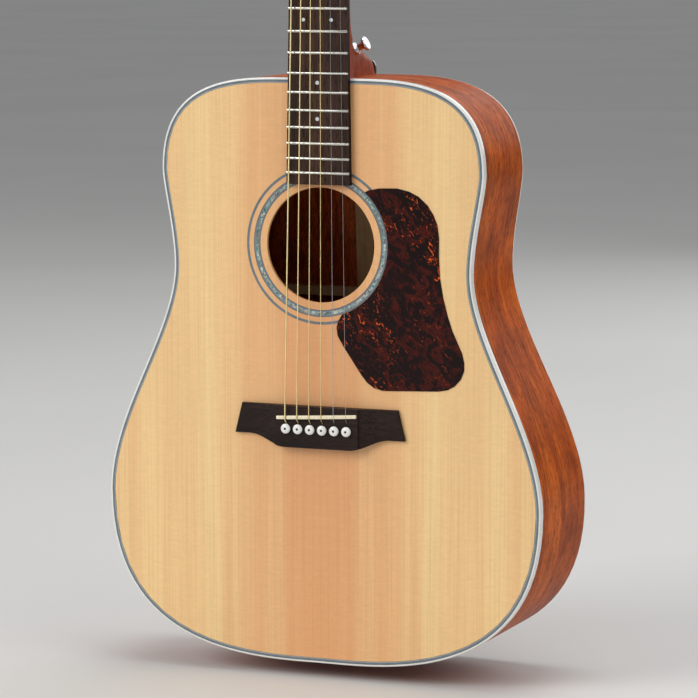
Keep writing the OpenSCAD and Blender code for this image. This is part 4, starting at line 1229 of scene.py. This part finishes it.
    def head_block(self) -> bmesh.types.BMesh:
        """The headstock's flared block, with its back edges eased."""
        w, n = self.head_w / 2, self.nut_w / 2
        right = []
        for i in range(self.head_flare_steps + 1):
            t = i / self.head_flare_steps
            right.append((n + (w - self.head_flare_in - n) * eased(t), self.head_flare_len * t))
        right.append((w, self.head_len - self.head_corner))
        for i in range(self.head_crown_steps + 1):
            t = i / self.head_crown_steps
            crown = self.head_crown * (math.sin(math.pi / 2 * t) - 1)
            right.append(((w - self.head_crown_in) * (1 - t), self.head_len + crown))
        points = [Vector((x, 0, z)) for x, z in right]
        points += [Vector((-p.x, 0, p.z)) for p in reversed(points[:-1])]
        bm = bmesh.new()
        sheet = bm.faces.new([bm.verts.new(p) for p in points])
        back = set(thicken(bm, [sheet], lambda co: co + Vector((0, self.head_t, 0))))
        bmesh.ops.recalc_face_normals(bm, faces=bm.faces)
        round_edges(bm, self.head_edge_round, lambda e: len(back & set(e.link_faces)) == 1, 4)
        bmesh.ops.transform(bm, matrix=self.to_head(), verts=bm.verts)
        return bm

    def head_cuts(self) -> bmesh.types.BMesh:
        """What is cut out of the headstock: bores for the bushings, and the rod's pocket."""
        bm = bmesh.new()
        r = self.bushing_bore
        for n in STRINGS:
            place, axis = joint(f"tuner_post_{n}_turn")
            turned(bm, [(-20 * MM, 0), (-20 * MM, r), (2 * MM, r), (2 * MM, 0)], place, axis, 24)
        low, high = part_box("truss_rod_nut")
        centre = (low + high) / 2 + Vector(self.rod_pocket_shift)
        bmesh.ops.create_cube(bm, size=1.0, matrix=Matrix.Translation(centre) @ Matrix.Diagonal(
            (*self.rod_pocket, 1)))
        return bm

    def make(self) -> None:
        """Makes the neck and finishes what is on it."""
        self.make_neck()
        polished("fingerboard", BOARD_WOOD, 0.0, smooth=12.0)
        polished("frets", FRET_METAL, 0.0, smooth=50.0)
        polished("position_dots", DOT_WHITE, 0.0)
        polished("nut", BONE, 0.35 * MM)
        polished("heel_cap", BLACK, 0.4 * MM)
        polished("head_veneer", HEAD_WOOD, 0.25 * MM)
        polished("truss_rod_cover", BLACK, 0.4 * MM)
        polished("truss_rod_nut", BRASS, 0.2 * MM, body="truss_rod_nut")


@dataclass
class Tuners:
    """Six sealed tuners: their keys, posts, housings and bushings."""

    neck: Neck
    button: tuple[float, float, float] = (7.6 * MM, 4.2 * MM, 10 * MM)
    button_x: float = 48.6 * MM
    collar_x: float = 39.6 * MM
    shaft_r: float = 2.2 * MM

    def make_key(self, number: int) -> None:
        """Shapes a key: its worm shaft, a waisted collar, the oval button and its screw.

        Args:
            number: The string that it tunes, from 1 on the treble side.
        """
        place, axis = joint(f"tuner_key_{number}_turn")
        centre = Vector((0, place.y, place.z))
        side = axis.x
        bm = bmesh.new()
        bmesh.ops.create_uvsphere(bm, u_segments=40, v_segments=20, radius=1.0)
        ball = list(bm.verts)
        for vert in ball:
            x, y, z = (math.copysign(abs(v) ** 0.82, v) for v in vert.co)
            vert.co = Vector((x, y * (1 - 0.18 * z * z), z))
        size = Matrix.Diagonal((*self.button, 1))
        move = Matrix.Translation(centre + Vector((side * self.button_x, 0, 0)))
        bmesh.ops.transform(bm, matrix=move @ self.neck.lean() @ size, verts=ball)
        edge = self.button_x - self.button[0]
        end = self.button_x + self.button[0]
        turned(bm, [(self.collar_x + 0.2 * MM, 0), (self.collar_x + 0.2 * MM, 3.4 * MM),
                    (self.collar_x + 0.8 * MM, 3.6 * MM), (edge, 2.7 * MM),
                    (edge + 2.5 * MM, 3.6 * MM), (edge + 5 * MM, 2 * MM), (edge + 5 * MM, 0)],
               centre, axis)
        turned(bm, [(17 * MM, 0), (17 * MM, self.shaft_r), (edge + 1 * MM, self.shaft_r),
                    (edge + 1 * MM, 0)], centre, axis)
        turned(bm, [(end - 1.5 * MM, 0), (end - 1.5 * MM, 2.9 * MM), (end + 0.3 * MM, 2.9 * MM),
                    (end + 0.8 * MM, 2.3 * MM), (end + 0.8 * MM, 1 * MM),
                    (end + 0.3 * MM, 0.7 * MM), (end + 0.3 * MM, 0)], centre, axis)
        make_piece(bm, f"key_{number}_cast", [CHROME], [f"tuner_key_{number}"],
                   f"tuner_key_{number}", 50.0)

    def make(self) -> None:
        """Makes the keys and posts, and finishes their housings and bushings."""
        for n in STRINGS:
            self.make_key(n)
            polished(f"tuner_post_{n}", CHROME, 0.25 * MM, body=f"tuner_post_{n}")
        polished("tuner_housings", CHROME, 1.2 * MM, segments=4)
        polished("tuner_bushings", CHROME, 0.4 * MM)
        polished("screws", CHROME, 0.0)


@dataclass
class Strings:
    """The six strings and the turns that each has round its post."""

    neck: Neck
    post_r: float = 3 * MM
    rise: float = 5.2 * MM
    hole_rise: float = 8.6 * MM
    slack: float = 0.08 * MM
    most_turns: float = 4.5
    steps_a_turn: int = 32
    radii: tuple[float, ...] = tuple(d / 2 * MM for d in (0.3, 0.41, 0.61, 0.81, 1.07, 1.35))

    def make_wraps(self, number: int, finish: Finish) -> None:
        """Winds a string round its post, up to the hole that its end goes into.

        Args:
            number: The string, from 1 on the treble side.
            finish: The wire's finish.
        """
        place, axis = joint(f"tuner_post_{number}_turn")
        r = self.radii[number - 1]
        side = 1 if place.x > 0 else -1
        around = self.post_r + r + self.slack
        climb = self.hole_rise - self.rise
        turns = min(self.most_turns, math.floor(climb / (2 * r) - 0.5) + 0.5)
        start = place + axis * self.rise
        bm = bmesh.new()
        ring = bmesh.ops.create_circle(bm, segments=10, radius=r, cap_ends=True)["verts"]
        inner = Matrix.Translation(start - Vector((side * around, 0, 0)))
        bmesh.ops.transform(bm, matrix=inner @ self.neck.lean(), verts=ring)
        steps = round(self.steps_a_turn * turns)
        bmesh.ops.spin(bm, geom=list(bm.faces), cent=start, axis=axis * side,
                       dvec=axis * climb / steps, angle=-2 * math.pi * turns,
                       steps=steps, use_merge=False)
        hole = place + axis * self.hole_rise
        turned(bm, [(0, 0), (0, r), (around, r), (around + r / 2, r / 2), (around + r / 2, 0)],
               hole, Vector((side, 0, 0)))
        make_piece(bm, f"string_{number}_wraps", [finish], (), f"tuner_post_{number}", 60.0)

    def make(self) -> None:
        """Makes the strings and their wraps."""
        for n in STRINGS:
            finish, slot = (PLAIN, "plain_wire") if n <= 2 else (BRONZE, "bronze_wire")
            polished(f"string_{n}", finish, 0.0, smooth=60.0)
            self.make_wraps(n, finish)


@dataclass
class Insides:
    """What is hidden in the body and neck, and the buttons on them."""

    wood: tuple[str, ...] = ("top_lining", "back_lining", "neck_block", "tail_block", "x_braces",
                             "top_bars", "bridge_plate", "back_bracing")
    metal: tuple[str, ...] = ("truss_rod", "neck_bolts")

    def make(self) -> None:
        """Finishes each hidden piece, the strap button and the end pin."""
        for names, finish in ((self.wood, RAW_WOOD), (self.metal, STEEL)):
            for name in names:
                mesh = frame["nodes"][name].data
                mesh.materials.clear()
                mesh.materials.append(finish.material())
                LOG.info("%s: finished in %s", name, finish.name)
        for name in ("strap_button", "end_pin"):
            polished(name, CHROME, 0.25 * MM)


# ---------------------------------------------------------------- studio


@dataclass
class Studio:
    """The floor, the lights and the camera."""

    camera_at: tuple[float, float, float] = (1.1409, -2.8228, 0.6405)
    yaw: float = 22.02
    pitch: float = 7.01
    lens: float = 181.2
    floor_half: float = 60.0
    floor_gap: float = 0.5 * MM
    aim: tuple[float, float, float] = (0, 0, 0.35)
    sky: tuple[float, float, float, float] = (0.8, 0.81, 0.83, 1)
    sky_strength: float = 0.38
    lights: tuple[tuple[str, tuple[float, float, float], float, float], ...] = (
        ("key", (-2.4, -2.9, 2.3), 2.4, 100), ("fill", (2.6, -1.2, 2.8), 2.6, 26),
        ("overhead", (0.3, 0.2, 3.2), 1.8, 30), ("behind", (0.6, 2.9, 1.8), 2.4, 26))

    def make_floor(self) -> None:
        """Lays a plain pale floor under the guitar."""
        bm = bmesh.new()
        low = CAD_BOX[0].z
        bmesh.ops.create_grid(bm, x_segments=1, y_segments=1, size=self.floor_half,
                              matrix=Matrix.Translation((0, 0, low - self.floor_gap)))
        floor = placed("floor", bm)
        paint = Plastic("pale_floor", shown(222, 221, 218), shown(216, 215, 212), 0.6, 0.0,
                        (1, 1, 1))
        floor.data.materials.append(paint.material())

    def light(self, name: str, place: tuple[float, float, float], size: float,
              power: float) -> None:
        """Hangs a soft square light that looks at the middle of the body.

        Args:
            name: The light's name.
            place: Where it hangs.
            size: The length of its sides.
            power: Its power in watts.
        """
        lamp = bpy.data.lights.new(name, "AREA")
        lamp.size = size
        lamp.energy = power
        hung = linked(name, lamp)
        hung.location = place
        aim = Vector(self.aim) - Vector(place)
        hung.rotation_euler = aim.to_track_quat("-Z", "Y").to_euler()

    def make(self) -> None:
        """Sets up the studio."""
        scene = bpy.context.scene
        scene.view_settings.view_transform = "Standard"
        world = bpy.data.worlds.new("studio")
        world.use_nodes = True
        background = world.node_tree.nodes["Background"]
        background.inputs["Color"].default_value = self.sky
        background.inputs["Strength"].default_value = self.sky_strength
        scene.world = world
        for row in self.lights:
            self.light(*row)
        self.make_floor()
        camera = bpy.data.cameras.new("camera")
        camera.lens = self.lens
        view = linked("camera", camera)
        view.location = self.camera_at
        view.rotation_euler = (math.radians(90 - self.pitch), 0, math.radians(self.yaw))
        scene.camera = view


def main() -> None:
    """Builds the guitar, one sub-assembly after another."""
    logging.basicConfig(level=logging.INFO, format="%(name)s %(message)s")
    Studio().make()
    SoundBox().make()
    Decoration().make()
    Bridge().make()
    neck = Neck()
    neck.make()
    Tuners(neck).make()
    Strings(neck).make()
    Insides().make()


if __name__ == "__main__":
    main()
